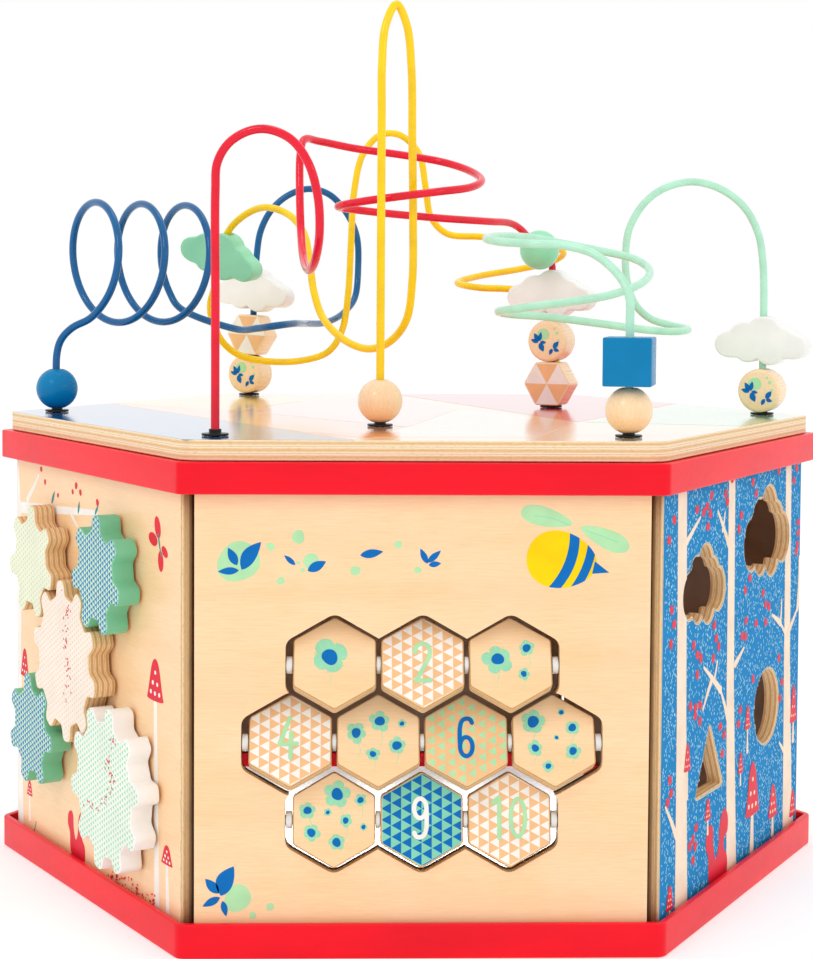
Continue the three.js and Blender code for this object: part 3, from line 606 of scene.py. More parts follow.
def printer(prefix, matrix, body="root"):
    """Gives a function that prints films on one face. Each shape is an outline, or a list of an outline
    and its holes. A higher layer lies over a lower one, and a fan raises each shape over the last."""
    def show(name, shapes, tone, layer=0, fan=0.0, raised=0.0, cuts=()):
        verts, faces = [], []
        low = INK_LIFT + INK_LAYER * layer + raised
        for shape in shapes:
            loops = wound(shape if isinstance(shape[0], list) else [shape])
            low += fan
            high = low + INK_THICK
            fill(loops, high, False, verts, faces)
            fill(loops, low, True, verts, faces)
            for loop in loops:
                faces += grid(len(verts), 2, len(loop))
                verts += [(x, y, z) for z in (low, high) for x, y in loop]
        film = weld(add_object(f"{prefix}_{name}", verts, faces, [INK[tone]], matrix=matrix))
        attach(film, body)
        if cuts:
            carve(film, [punch(cut, INK[tone], matrix) for cut in cuts])
    return show


# ---- Camera, light and floor ----
def studio():
    focal, centre_row, rows, sensor = 2049.0, 380.0, 959, 36
    yaw, down, roll = math.radians(1.69), math.radians(2.84), math.radians(0.35)
    data = bpy.data.cameras.new("camera")
    data.sensor_width = sensor
    data.lens = focal / rows * sensor
    data.shift_y = (centre_row - rows / 2) / rows
    data.clip_end = 20
    camera = bpy.data.objects.new("camera", data)
    camera.matrix_world = (Matrix.Translation((-0.040, -1.252, 0.349)) @ Matrix.Rotation(-yaw, 4, "Z")
                           @ Matrix.Rotation(math.pi / 2 - down, 4, "X") @ Matrix.Rotation(roll, 4, "Z"))
    scene = bpy.context.scene
    scene.collection.objects.link(camera)
    scene.camera = camera
    scene.view_settings.view_transform = "Standard"

    scene.world = bpy.data.worlds.new("studio")
    scene.world.use_nodes = True
    sky = scene.world.node_tree.nodes["Background"].inputs
    sky["Color"].default_value, sky["Strength"].default_value = (1, 1, 1, 1), 1.0

    for name, place, target, size, power, spread in (
            ("key", (-1.1, -1.5, 1.7), (0, 0, 0.25), 0.5, 5, 180),
            ("fill", (1.5, -1.3, 1.0), (0, 0, 0.2), 0.5, 2, 180),
            ("top", (0.1, 0.3, 2.0), (0, 0, 0.2), 0.7, 2.5, 180),
            ("inside", (0, 0.03, 0.215), (0, 0.03, 0), 0.20, 0.32, 36)):
        light = bpy.data.lights.new(name, "AREA")
        light.size, light.energy, light.spread = size, power, math.radians(spread)
        lamp = bpy.data.objects.new(name, light)
        lamp.visible_camera = False
        away = Vector(place) - Vector(target)
        lamp.matrix_world = Matrix.Translation(place) @ away.to_track_quat("Z", "Y").to_matrix().to_4x4()
        scene.collection.objects.link(lamp)

    p = Paint("floor_paper", "C4C4C4", 0.9, specular=0.0)  # lit from below as well, as a light table is
    p.shader["Emission Color"].default_value = (1, 1, 1, 1)
    p.shader["Emission Strength"].default_value = 0.5
    half, low = 9000, -0.5
    corners = [(-half, -half, low), (half, -half, low), (half, half, low), (-half, half, low)]
    floor = add_object("floor", corners, [(0, 1, 2, 3)], [p.material])


# ---- Red frames and the printed board ----
def hexagon_ring(name, profile, corner):
    """A closed profile of (apothem, z), its edges rounded, swept round a hexagon with rounded corners."""
    loops = []
    for apothem, z in rounded(profile, 0.9, 4):
        r = max(corner - (BAND_APOTHEM - apothem), 0.6)
        loops.append([(x, y, z) for x, y in rounded(hexagon(apothem), r, 8)])
    verts, faces = [v for loop in loops for v in loop], grid(0, len(loops), len(loops[0]), True)
    obj = add_object(name, verts, faces, [RED_PLASTIC], smooth=[True] * len(faces))
    obj.data.set_sharp_from_angle(angle=math.radians(40))
    return obj


def frames():
    lip, web, rib, inner = 3.8, 4, 6, WALL_FACE - WALL_THICK
    outer, channel = BAND_APOTHEM, (inner - 3, inner - 0.3)
    bottom = hexagon_ring("bottom_band", [
        (outer, 0), (outer, BOTTOM_BAND_TOP), (outer - lip, BOTTOM_BAND_TOP), (outer - lip, web),
        (channel[1], web), (channel[1], web + rib), (channel[0], web + rib), (channel[0], 0)], 4.5)
    stand_for(bottom, "root", "red_frame", "bottom_frame")
    under = FRAME_TOP - web
    top = hexagon_ring("top_band", [
        (outer, TOP_BAND_LOW), (outer, FRAME_TOP), (186, FRAME_TOP), (186, under), (channel[0], under),
        (channel[0], under - rib), (channel[1], under - rib), (channel[1], under), (outer - lip, under),
        (outer - lip, TOP_BAND_LOW)], 3.0)
    carve(top, [drill(WIRE_HOLE, 8, RED_PLASTIC, upright(x, y, FRAME_TOP - 2))
                for x, y in CORNER_BASES.values()])
    stand_for(top, "root", "red_frame", "top_frame")


BOARD_AREAS = {
    "blue": [(-313.6, 300), (-400, 300), (-400, -400), (66.4, -400)],
    "yellow": [(-204, 100), (-112, 14), (-70, 120), (-141, 226)],
    "peach": [(-200, 95), (-36, -209), (-8, -118), (-110, 12)],
    "orange": [(-58, -160), (-38, -190), (-12, -189), (-11, -154)],
    "pink": [(-108, 15), (-6, -116), (30, 40), (-6, 200), (-66, 122)],
    "red": [(-5, 203), (94, -71), (200, 150), (160, 240)],
    "mint": [(98, -72), (222, -110), (240, 60), (203, 148)],
    "cream": [(-26, -190), (60, -186), (92, -74), (34, 36), (-4, -116)]}


def board():
    holes = [disc(x, y, WIRE_HOLE, 24) for x, y in ALL_BASES.values()]
    slab = plate("board", [rounded(hexagon(212.5), 10, 10)] + holes, BOARD_BOTTOM, BOARD_TOP, 0.8,
                 [BOARD_WOOD, BOARD_EDGE, BOARD_WOOD])
    stand_for(slab, "root", "board_wood", "top_board")
    show = printer("board_print", Matrix.Translation((0, 0, BOARD_TOP * MM)), "root")
    for name, shape in BOARD_AREAS.items():
        region = clipped(anticlockwise(shape), hexagon(211.3))
        cuts = [disc(x, y, 4.5, 20) for x, y in ALL_BASES.values() if inside((x, y), region)]
        show(name, [[region] + cuts], "board_" + name, 1 if name == "orange" else 0)
    show("line", [stroke([(-112, 14), (-92, 15)], 3)], "board_red", 1)
    profile = rounded([(2.65, 0), (7.1, 0), (7.1, 1.2), (3.3, 1.2), (3.3, 3.4), (2.65, 3.4)], 0.28, 3)
    for name, (x, y) in ALL_BASES.items():
        ring = lathe("base_" + name, profile, 48, BLACK_PLASTIC, upright(x, y, BOARD_TOP + 0.3))
        stand_for(ring, "root", "black_plastic", "grommet_" + name)


# ---- Walls ----
def slab_wall(name, k, face, edge, holes=(), bevel=0.0, steps=1):
    """A wall whose ends lean in, so that neighbours clear each other."""
    outline = [(-WALL_HALF, WALL_LOW), (WALL_HALF, WALL_LOW), (WALL_HALF, WALL_HIGH), (-WALL_HALF, WALL_HIGH)]
    # the inner faces take the darkened veneer, a painted shade
    obj = plate(name, [outline] + list(holes), -WALL_THICK, 0, bevel, [face, edge, INNER_WOOD_SHADE_PAINT, WALL_EDGE],
                wall_plane(k), steps)
    for v in obj.data.vertices:
        if abs(v.co.x) > 0.112:
            v.co.x += math.copysign(WALL_LEAN * MM, v.co.x) * v.co.z / (WALL_THICK * MM)
    return obj


def wall(name, k, slot, node, face, holes=(), bevel=2.2):
    """A wall with rounded edges. Its two ends show the ply with painted shade on their inner half."""
    obj = slab_wall(name, k, face, PLY_EDGE, holes, bevel, 4)
    for polygon in obj.data.polygons:
        if abs(polygon.center.x) > 0.1135 and polygon.material_index == 1:
            polygon.material_index = 3
    stand_for(obj, "root", slot, node)


def row_places(count):
    return [(i - (count - 1) / 2) * TILE_PITCH for i in range(count)]


def front_wall():
    # its rims take the wall edge ply, with painted shade on their inner half
    obj = slab_wall("honeycomb_wall", 0, WALL_WOOD, WALL_EDGE)
    w, peak, shoulder = 25.2, 27.5, 13
    window = rounded([(0, peak), (-w, shoulder), (-w, -shoulder),
                      (0, -peak), (w, -shoulder), (w, shoulder)], 4)
    middle = WALL_FACE - WALL_THICK / 2
    # lower window rims get painted light and the others painted shade, as the gaps look white below and dark
    # above
    cutters = [punch(shifted(window, x, z), EDGE_LIGHT_PAINT if name == "lower" else EDGE_SHADE_PAINT, wall_plane(0))
               for name, z, count, _, _ in ROWS for x in row_places(count)]
    # axle bores take the ply darkened as painted shade
    cutters += [drill(2.8, 300, EDGE_SHADE_PAINT, wall_plane(0, 0, row[1], middle) @ SIDEWAYS, 24) for row in ROWS]
    soften(carve(obj, cutters), 0.45)
    stand_for(obj, "root", "wall_wood", "front_wall")
    for name, z, count, _, _ in ROWS:
        level = wall_plane(0, 0, z, middle) @ SIDEWAYS
        profile = rounded([(0, -112), (2.5, -112), (2.5, 112), (0, 112)], 0.4, 3)
        stand_for(lathe("axle_" + name, profile, 32, STEEL, level), "root", "steel_rod", "tile_axle_" + name)
        places = row_places(count)
        rings = [((a + b) / 2, 1.1) for a, b in zip(places, places[1:])]
        rings += [(places[0] - 23.2, 1.6), (places[-1] + 23.2, 1.6)]
        for i, (x, half) in enumerate(rings):
            profile = rounded([(2.7, x - half), (4.4, x - half), (4.4, x + half), (2.7, x + half)], 0.4, 2)
            stand_for(lathe(f"spacer_{name}_{i}", profile, 28, NYLON, level), "root", "steel_rod")


# ---- Printed patterns ----
def triangles(region, column, height, size=1.0, gap=0.3):
    """Columns of triangles that point left, cut to an anticlockwise region."""
    xs, ys = zip(*region)
    out = []
    for c in range(math.floor(min(xs) / column), math.ceil(max(xs) / column) + 1):
        x0, x1 = c * column + gap / 2, (c + 1) * column - gap / 2
        mid, half = (x0 + x1) / 2, height / 2 * size * 0.97
        a, b = mid + (x0 - mid) * size, mid + (x1 - mid) * size
        for r in range(math.floor(min(ys) / height) - 1, math.ceil(max(ys) / height) + 2):
            y = r * height + (c % 2) * height / 2
            shape = [(b, y - half), (b, y + half), (a, y)]
            within = [inside(p, region) for p in shape]
            if all(within):
                out.append(shape)
            elif any(within):
                out.append(clipped(region, anticlockwise(shape)))
    return [shape for shape in out if shape]


def blossom(x, y, span, seed):
    """A flower of four or five uneven petals."""
    rng = random.Random(seed)
    lobes = rng.choice((4, 5, 5))
    sizes = [rng.uniform(0.55, 1.12) for _ in range(lobes)]
    turn = rng.uniform(0, 360)
    points = []
    for t in turns(90):
        f = lobes * t / (2 * math.pi)
        reach = 0.60 + 0.42 * math.sin(math.pi * (f - int(f))) ** 0.5 * sizes[int(f) % lobes]
        points.append((reach * math.cos(t), reach * math.sin(t)))
    return shifted(points, x, y, turn, span / 2)


def blot(x, y, size, seed):
    """A hand-drawn dot."""
    rng = random.Random(seed)
    a, b = rng.uniform(0, 6.3), rng.uniform(0, 6.3)
    reach = {t: size / 2 * (1 + 0.07 * math.sin(2 * t + a) + 0.04 * math.sin(3 * t + b)) for t in turns(28)}
    return [(x + r * math.cos(t), y + r * math.sin(t)) for t, r in reach.items()]


def dots(places):
    return [blot(x, z, 2 * r, int(x * 7 + z * 3)) for x, z, r in places]


SIX = [(3.1, 7.6), (2.2, 9.3), (0.2, 9.8), (-2.0, 8.6), (-3.1, 5.2), (-3.3, 0.4), (-3.2, -4.8)]
NUMERALS = {  # open strokes, then (centre x, centre y, half width, half height) of each closed ring
    2: ([[(-3.9, 5.6), (-3.2, 8.6), (-0.6, 10.0), (2.4, 9.2), (3.7, 6.2), (3.0, 2.6), (0.6, -2.2),
          (-3.0, -8.6)], [(-3.6, -9.3), (0, -9.4), (3.9, -9.2)]], []),
    4: ([[(0.6, 10.2), (-2.2, 2.6), (-4.2, -2.6)], [(-4.4, -3.3), (0, -3.4), (4.4, -3.2)],
         [(1.4, 2.6), (1.3, -4.5), (1.2, -10.4)]], []),
    6: ([SIX], [(0, -4.8, 3.2, 4.9)]), 9: ([[(-x, -y) for x, y in SIX]], [(0, 4.8, 3.2, 4.9)]),
    10: ([[(-8.6, 7.2), (-6.8, 9.0), (-5.4, 10.0)], [(-5.2, 10.0), (-5.2, 0), (-5.2, -10.2)]],
         [(4.4, 0, 3.7, 9.4)])}
PATTERNS = {  # ground, triangles and their size, numeral and its place
    2: ("peach", "white", 1.0, "mint", (0, 0)), 4: ("peach", "white", 1.0, "mint", (-1, 1.5)),
    6: ("peach", "mint", 0.84, "blue", (0, 1.5)), 9: ("aqua", "blue", 1.0, "white", (-0.8, 1)),
    10: ("peach", "white", 1.0, "mint", (0, 1))}
FLOWERS = {  # x, y, span and heart of each flower on the tiles of bare wood
    1: [(-2.5, 3, 20, 8.2)], 3: [(-6.6, 2, 16, 6.2), (8.4, 7.8, 8.6, 4.2), (6.6, -5.8, 6.4, 3)],
    5: [(0.8, 10, 11, 5), (-11.4, 3.9, 11, 4.9), (9.5, -2.7, 10, 4.7), (-2.8, -7.1, 7.4, 3.2),
        (12.2, 8.7, 5, 2.3)],
    7: [(-10.4, 9.7, 14, 6), (-9.7, -4.1, 8.4, 3.8), (4.4, 14.6, 4, 2.4), (1.5, 1.4, 3, 1.8),
        (-3.3, -13.4, 6.4, 2.9), (9.8, 6.6, 8.6, 4), (9.7, -5.6, 8.6, 4)],
    8: [(1.6, 13.0, 14, 6), (13.6, 10.0, 6.4, 3.2), (-13.6, 4.8, 9.2, 4), (-3.2, 3.8, 4.4, 2),
        (6, -0.3, 7.2, 3.1), (-11.6, -6.4, 9.2, 4.3), (1.4, -11.3, 9.2, 4.4), (15.2, -3.6, 4, 2.2)]}


def numeral(number, at, width=2.3):
    lines, rings = NUMERALS[number]
    out = [shifted(stroke(curve_points(line, 6), width), *at) for line in lines]
    for x, y, rx, ry in rings:
        out.append([disc(x + at[0], y + at[1], rx + half, 48, ry + half) for half in (width / 2, -width / 2)])
    return out


def stems(number):
    rng = random.Random(number * 7)
    out = []
    for x, y, span, _ in FLOWERS[number]:
        if span < 6:
            continue
        sway = rng.uniform(-3, 4)
        foot = y - span / 2
        low = max(foot - rng.uniform(5, 8), -17 + abs(x) * 0.4)
        if low < foot - 1.5:
            out.append(stroke(curve_points([(x + 1, foot + 0.5), (x + 1 + sway * 0.6, (foot + low) / 2),
                                            (x + sway * 0.4, low)]), 0.4, 0.5))
    return out


def veins(flowers, face):
    out = [stroke([(x + math.cos(t) * span * f, y + math.sin(t) * span * f) for f in (0.30, 0.42)], 0.35)
           for x, y, span, _ in flowers if span > 8 for t in turns(11)]
    return [v for v in out if all(inside(q, face) for q in v)]


def tiles():
    outline = rounded(hexagon(TILE_FLAT, 90), 1.6, 4)
    face = rounded(hexagon(TILE_FLAT - 0.9, 90), 1.2, 3)
    spots = [(first + i, x, z, tilt) for _, z, count, first, tilt in ROWS
             for i, x in enumerate(row_places(count))]
    for number, x, z, tilt in spots:
        body = BODY_OF[f"number_tile_{number}"]
        place = (Matrix.Translation(wall_plane(0, x, z, WALL_FACE - WALL_THICK / 2).translation)
                 @ Matrix.Rotation(-math.radians(tilt), 4, "X") @ wall_plane(0, 0, 0, 0))
        obj = plate(f"tile_{number}", [outline], -TILE_HALF, TILE_HALF, 0.7,
                    [TILE_WOOD, PLY_EDGE, TILE_WOOD], place)
        # the bore's ply is darkened as painted shade
        carve(obj, [drill(2.9, 60, EDGE_SHADE_PAINT, place @ SIDEWAYS, 20)])
        stand_for(obj, body, "tile_wood", f"number_tile_{number}")
        show = printer(f"tile_{number}", place @ Matrix.Translation((0, 0, TILE_HALF * MM)), body)
        if number in PATTERNS:
            ground, mark, size, figure, at = PATTERNS[number]
            show("ground", [face], ground)
            show("pattern", triangles(face, 5.25, 5.7, size), mark, 1)
            show("number", numeral(number, at), figure, 2, 0.015)
        else:
            flowers = list(enumerate(FLOWERS[number]))
            show("stems", stems(number), "mint")
            show("petals", [clipped(blossom(fx, fy, span, number * 31 + n), face)
                            for n, (fx, fy, span, _) in flowers], "leaf", 1)
            show("veins", veins(FLOWERS[number], face), "mint", 2)
            show("hearts", [blot(fx, fy, heart, number * 17 + n)
                            for n, (fx, fy, _, heart) in flowers], "blue", 3)


def front_prints():
    show = printer("front", wall_plane(0), "root")
    show("mint_dots", dots([
        (-94.5, 204, 10.6), (-78.2, 211.8, 2.1), (-64, 216.8, 3.4), (-72.9, 194.2, 2), (-34.8, 199.5, 2.5),
        (-12.9, 213, 2), (-2.9, 199.9, 1.8), (-61.8, 199.7, 1.2), (-64, 203.4, 1), (-57.2, 204, 4.3),
        (-94.6, 29.8, 7.0), (-77.8, 25.4, 2), (-86.7, 20.9, 1.8)]), "mint")
    show("leaves", [leaf(*row) for row in (
        ((-92.9, 199.9), (-83.0, 214.2), 7.4, 1), ((-95.2, 202.2), (-99.8, 211.2), 4.6),
        ((-94.3, 199.6), (-105.0, 198.9), 3.8), ((-65.5, 202.4), (-71.2, 207.4), 2.6),
        ((-59.2, 199.4), (-49.8, 204.3), 5), ((-32.4, 207.4), (-20.6, 209.4), 4.4),
        ((2.1, 203.2), (-1.6, 211.0), 3.2), ((2.1, 203.8), (8.9, 210.0), 3.2),
        ((2.7, 202.5), (9.0, 203.4), 3.0), ((-103.2, 31.1), (-96.6, 46.5), 9, 1.2),
        ((-104.3, 32.4), (-111.2, 40.0), 5), ((-103.6, 30.3), (-112.6, 25.6), 4),
        ((-102.3, 28.5), (-100.4, 20.4), 3.4))], "blue", 1)
    egg = shifted([(math.cos(t) * 18.2, math.sin(t) * 14.6 * (1 - 0.16 * math.cos(t))) for t in turns(60)],
                  71.0, 205.2, -9)
    show("bee_body", [egg], "yellow")
    stripes = []
    for x, y, wide, bend in ((75.4, 205.0, 5.4, 3.4), (84.2, 203.2, 4.6, 2.8)):
        left, right = ([(side * wide / 2 - bend * (v / 16) ** 2 + bend, v) for v in
                        (-18 + 36 * i / 16 for i in range(17))] for side in (-1, 1))
        band = shifted(left + right[::-1], x - bend, y, -20)
        stripes.append(clipped(anticlockwise(band), anticlockwise(egg)))
    show("bee_stripes", stripes + [[(88.0, 204.6), (95.4, 198.8), (86.6, 198.2)]], "blue", 1)
    wing = [(math.cos(t) * 13.6, math.sin(t) * (4.9 + 1.6 * math.cos(t))) for t in turns(40)]
    show("bee_wings", [shifted([(-u, v) for u, v in wing], 63.0, 227.2, -14),
                       shifted(wing, 93.0, 216.6, -24)], "mint")
    show("bee_wing_lines", [stroke(curve_points([(75, 223), (66, 226.6), (57, 228.0)]), 0.5),
                            stroke(curve_points([(83, 220.6), (92, 217.4), (100, 214.4)]), 0.5)], "leaf", 1)


# A plain squat animal with a curled tail, from the ground below its middle.
SQUIRREL = curve_points([
    (-6, 0), (-14, 2), (-20, 12), (-21, 26), (-26, 34), (-24, 44), (-17, 47), (-13, 43), (-12, 32), (-7, 22),
    (-2, 30), (0, 44), (8, 52), (15, 46), (15, 36), (9, 33), (8, 26), (14, 20), (15, 10), (11, 1), (2, 0)], 4)


def toadstools(show, tone, layer, rows):
    """Prints toadstools, each given by its x, its cap's top and lower edge, its foot, width and lean."""
    caps, feet, spots = [], [], []
    for x, top, low, foot, width, lean in rows:
        w, high = width / 2, top - low
        cap = []
        for i in range(33):
            f = 1 - (1 - i / 32) ** 1.6
            cap.append((x - w * (0.56 * math.sqrt(1 - f ** 4) + 0.44 * (1 - f) ** 2), low + high * f))
        cap += [(2 * x - a, b) for a, b in cap[-2::-1]]
        cap += [(x + w * math.cos(t), low - high * 0.05 * math.sin(t)) for t in turns(24)[1:12]]
        caps.append(cap)
        stem = max(w * 0.30, 1.0)
        feet.append([(x - stem * 0.6, low), (x - stem + lean, foot),
                     (x + stem + lean, foot), (x + stem * 0.6, low)])
        spots += [disc(x + w * dx, low + high * dy, max(w * size, 0.55), 14) for dx, dy, size in (
            (-0.52, 0.16, 0.12), (0.02, 0.66, 0.11), (0.5, 0.14, 0.12), (-0.02, 0.14, 0.12),
            (-0.28, 0.40, 0.12), (0.26, 0.38, 0.11))]
    show("stems", feet, tone, layer)
    show("caps", caps, "red", layer + 1)
    show("spots", spots, tone, layer + 2)


# ---- Gear wall ----
GEARS = {  # teeth, direction from the centre gear, face, rim, slot, tone and size of the printed triangles
    "gear_centre": (10, None, GEAR_PINK, PLY_EDGE, "gear_pink", "peach", 0.42),
    "gear_upper_left": (7, 134.7, GEAR_CREAM, PLY_EDGE, "gear_cream", "leaf", 0.5),
    "gear_upper_right": (7, 50.1, MINT_PAINT, GEAR_GREEN_SIDE, "gear_green", "ocean", 0.98),
    "gear_lower_left": (7, 223.7, MINT_PAINT, GEAR_GREEN_SIDE, "gear_green", "ocean", 0.98),
    "gear_lower_right": (10, 312.8, GEAR_WHITE, GEAR_WHITE_SIDE, "gear_white", "leaf", 0.72)}
SPECK_TRAILS = {"gear_centre": [(2, 42), (8, 26), (3, 10), (9, -6), (4, -22)],
                "gear_lower_right": [(14, 32), (6, 18), (12, 4), (-4, -8), (-22, -12)]}


def gear_place(teeth, toward):
    """x, z and tooth angle of a gear that meshes with the centre one."""
    x, z, angle = -8.5, 133.0, 24.0
    if toward is None:
        return x, z, angle
    reach = GEAR_MODULE * (10 + teeth) / 2
    phase = toward + 180 - 360 / teeth * (0.5 - (toward - angle) / 36)
    return x + reach * math.cos(math.radians(toward)), z + reach * math.sin(math.radians(toward)), phase


def gear_outline(teeth, phase):
    out = []
    for a in turns(teeth * 30):
        wave = math.tanh(2.6 * (math.cos(teeth * a) - 0.22))
        r = GEAR_MODULE * teeth / 2 + (4 if wave > 0 else 5) * wave
        t = a + math.radians(phase)
        out.append((r * math.cos(t), r * math.sin(t)))
    return out


def specks(trail, outline, seed, count=46):
    rng = random.Random(seed)
    trail = curve_points(trail, 12)
    out = []
    while len(out) < count:
        x, y = trail[rng.randrange(len(trail))]
        x, y = x + rng.gauss(0, 2.4), y + rng.gauss(0, 1.5)
        speck = shifted(disc(0, 0, rng.uniform(0.5, 0.95), 12, 0.5), x, y, rng.uniform(0, 180))
        if inside((x, y), inset(outline, 2.4)):
            out.append(speck)
    return out


def gears():
    for name, (teeth, toward, face, rim, slot, tone, size) in GEARS.items():
        body = BODY_OF[name]
        x, z, phase = gear_place(teeth, toward)
        outline = gear_outline(teeth, phase)
        place = wall_plane(5, x, z, WALL_FACE + 1.6)
        obj = plate(name + "_wheel", [outline], 0, GEAR_THICK, 0.5, [face, rim, WALL_WOOD], place, steps=4)
        carve(obj, [drill(2.7, 10.4, STEEL, place, 20)])
        stand_for(obj, body, slot, name)
        profile = rounded([(3.4, -1.3), (9, -1.3), (9, -0.05), (3.4, -0.05)], 0.25, 2)
        stand_for(lathe(name + "_washer", profile, 40, NYLON, place), body, slot)
        show = printer(name, place @ Matrix.Translation((0, 0, GEAR_THICK * MM)), body)
        show("print_" + tone, triangles(inset(outline, 0.55), 3.0, 3.2, size, 0.2), tone)
        if name in SPECK_TRAILS:
            show("specks", specks(SPECK_TRAILS[name], outline, teeth + len(name)), "red", 1, 0.0006)
        bolt = frame["nodes"][name + "_bolt"]
        bolt.data.materials.clear()
        bolt.data.materials.append(STEEL)


def gear_prints():
    show = printer("gear_wall", wall_plane(5), "root")
    show("tree", [[(-114.6, 6), (-106, 6), (-109, 120), (-108, 202), (-114.4, 248), (-114.6, 248)],
                  tapered((-112, 209), (7, 217.5), 7, 3), tapered((-98, 215), (-80, 231), 4, 2),
                  tapered((-30, 213), (-21, 207), 2.6, 1.6), tapered((-109, 158), (-92, 172), 3.6, 1.6)],
         "white", 0, 0.008)
    show("berries", dots([(-22.8, 230, 2), (-16.6, 226.7, 1.8), (7.7, 223.3, 2), (-28, 226, 1.5),
                          (-93, 176, 1.8), (-76, 235, 1.7), (-70, 228, 1.6), (-50, 222, 1.4)]), "red", 1)
    show("sprigs", [leaf((-20, 214), (-18, 221.6), 2.4), leaf((4, 216), (9, 222), 2.2),
                    leaf((-60, 216), (-55, 224), 2.6)], "teal", 1)
    show("butterfly", [shifted(disc(9.4, 0, 6.0, 24, 3.6), 90, 209, turn, scale)
                       for turn, scale in ((108, 1.0), (166, 0.94), (-84, 0.92), (-28, 0.7))], "red")
    show("butterfly_body", [tapered((88, 214), (91.6, 203.5), 1.6, 1.0)], "teal", 1)
    toadstools(show, "white", 0, ((-103.5, 124, 107.6, 92, 13, 0), (84.2, 148, 126.5, 16, 20.5, 2),
                                  (98.6, 52, 42, 16, 14, 1), (-96, 45, 36, 20, 9, 0)))
    show("squirrel", [shifted(SQUIRREL, -20, 12, 0, 0.62)], "red")
    rng = random.Random(11)
    show("grass", [disc(rng.uniform(22, 84), 11 + abs(rng.gauss(0, 5.5)), rng.uniform(0.35, 0.9), 8)
                   for _ in range(170)], "red", 3)
    show("toadstool_low", [tapered((-89.7, 13.8), (-85.7, 22), 1.2, 0.8)], "teal")


# ---- Sorter wall ----
TRUNKS = [[(-95.7, 249), (-93.5, 120), (-92.7, 7), (-73.9, 7), (-79.5, 120), (-82.8, 249)],
          [(-16.4, 249), (-15.6, 120), (-11.4, 7), (5.2, 7), (-3.6, 120), (-6.1, 249)],
          [(85.8, 249), (87.4, 120), (89.8, 7), (108.5, 7), (98.8, 120), (95.9, 249)]]
BOUGHS = [
    ((-87.9, 207.2), (-61.7, 221.4)), ((-15.7, 201.7), (-33.9, 221.9)), ((-25.8, 210.6), (-22.3, 220.1)),
    ((-1.8, 131.8), (12.9, 138.9)), ((-13.6, 103.2), (-26, 121.3)), ((-26, 121.3), (-53.1, 138.3)),
    ((-37, 128), (-31.7, 138.1)), ((-40, 130), (-54, 115.3)), ((90.8, 133.9), (79, 143.5)),
    ((79, 143.5), (63.1, 150.7)), ((79, 143.5), (80.7, 156.8)), ((95, 135.7), (114.5, 150)),
    ((112, 148), (114, 179.6)), ((88.8, 63.8), (80.3, 70.5)), ((-92.9, 55.2), (-108.9, 74))]
BERRIES = [
    (-44.4, 231.7), (-66.6, 226.1), (-56.3, 223.7), (-50.9, 226.4), (-49.4, 215.1), (-46.3, 221.8),
    (-21.6, 230.5), (-11.1, 238), (-18.7, 225.7), (5.5, 216), (1.8, 208.4), (106.6, 234.9), (101.4, 227.4),
    (111, 201), (111.4, 194.5), (110.5, 187.5), (108.3, 183.4), (-103, 176.9), (-99.3, 168.9),
    (-103.4, 159), (-37.1, 159.2), (-33.7, 151.5), (-29.7, 146.3), (-38.2, 141.1), (-69.3, 153.1),
    (-63.3, 147), (-58.1, 144.3), (-63.2, 136.2), (16.3, 154), (9.7, 146.2), (15.5, 145), (45.9, 166),
    (51, 158.7), (57.2, 156.5), (51.5, 148.2), (77.6, 122.6), (84, 107), (80.3, 97.7), (-73.1, 120.7),
    (-65.1, 118.6), (-58.5, 118.7), (-65.7, 114.2), (-58.2, 109.8), (8.3, 103.8), (5.4, 96.2),
    (-25.2, 100.7), (-19.1, 94.9), (-21.7, 84.7), (-102.6, 86.9), (-100.6, 79.6), (-105.6, 75.7),
    (-61.9, 52.3), (-66.8, 47.1), (-71.4, 44.3), (-63, 42.3), (-66.3, 35.4), (25, 233), (31, 226),
    (14, 172), (22, 178), (34, 150), (30, 118), (72, 236), (-108, 214), (-101, 224)]


def sorter():
    holes = [shifted(cloud(66, 43), -53.5, 181), shifted(cloud(82, 53), 53, 198),
             rounded([(-63, 68), (-21, 68), (-42, 104.5)], 2.5), disc(55.5, 97.5, 21.7, 72)]
    wall("sorter_panel", 1, "blue_print", "sorter_wall", SKY_PAINT, holes, 1.4)
    show = printer("sorter", wall_plane(1), "root")
    show("trees", TRUNKS, "cream", 1, cuts=holes)
    show("boughs", [tapered(a, b, 4.4 if math.dist(a, b) > 16 else 3.0, 1.8) for a, b in BOUGHS], "cream", 1,
         0.008, 0.02)
    show("berries", [blot(x, z, 5.2, n) for n, (x, z) in enumerate(BERRIES)], "red", 2)
    toadstools(show, "cream", 3, [row + (0,) for row in (
        (-44, 64.4, 52.8, 43.8, 10), (-77, 101.5, 87, 70.5, 10), (21, 104.3, 91, 76, 10),
        (9.8, 79, 67.5, 59.5, 9), (31.5, 69.1, 39, 14.4, 24.4), (69.5, 47.8, 28.7, 16, 17),
        (107, 101.4, 79.2, 65.3, 13), (108, 36, 20.4, 10.9, 12), (-101, 30.6, 17.9, 10, 11))])
    show("squirrel", [shifted(SQUIRREL, -24, 8, 0, 0.86)], "red", 2)
    rng = random.Random(5)
    dash = [(-0.65, -0.28), (0.65, -0.28), (0.65, 0.28), (-0.65, 0.28)]
    dashes = []
    while len(dashes) < 6600:
        x, z = rng.uniform(-113, 113), rng.uniform(8, 247)
        if not any(inside((x, z), hole) for hole in holes):
            dashes.append(shifted(dash, x, z, rng.gauss(90, 28)))
    show("dashes", dashes, "pale_sky")


# ---- Slide-track wall ----
TRACKS = {"upper": (135, "mint"), "lower": (73, "sky")}


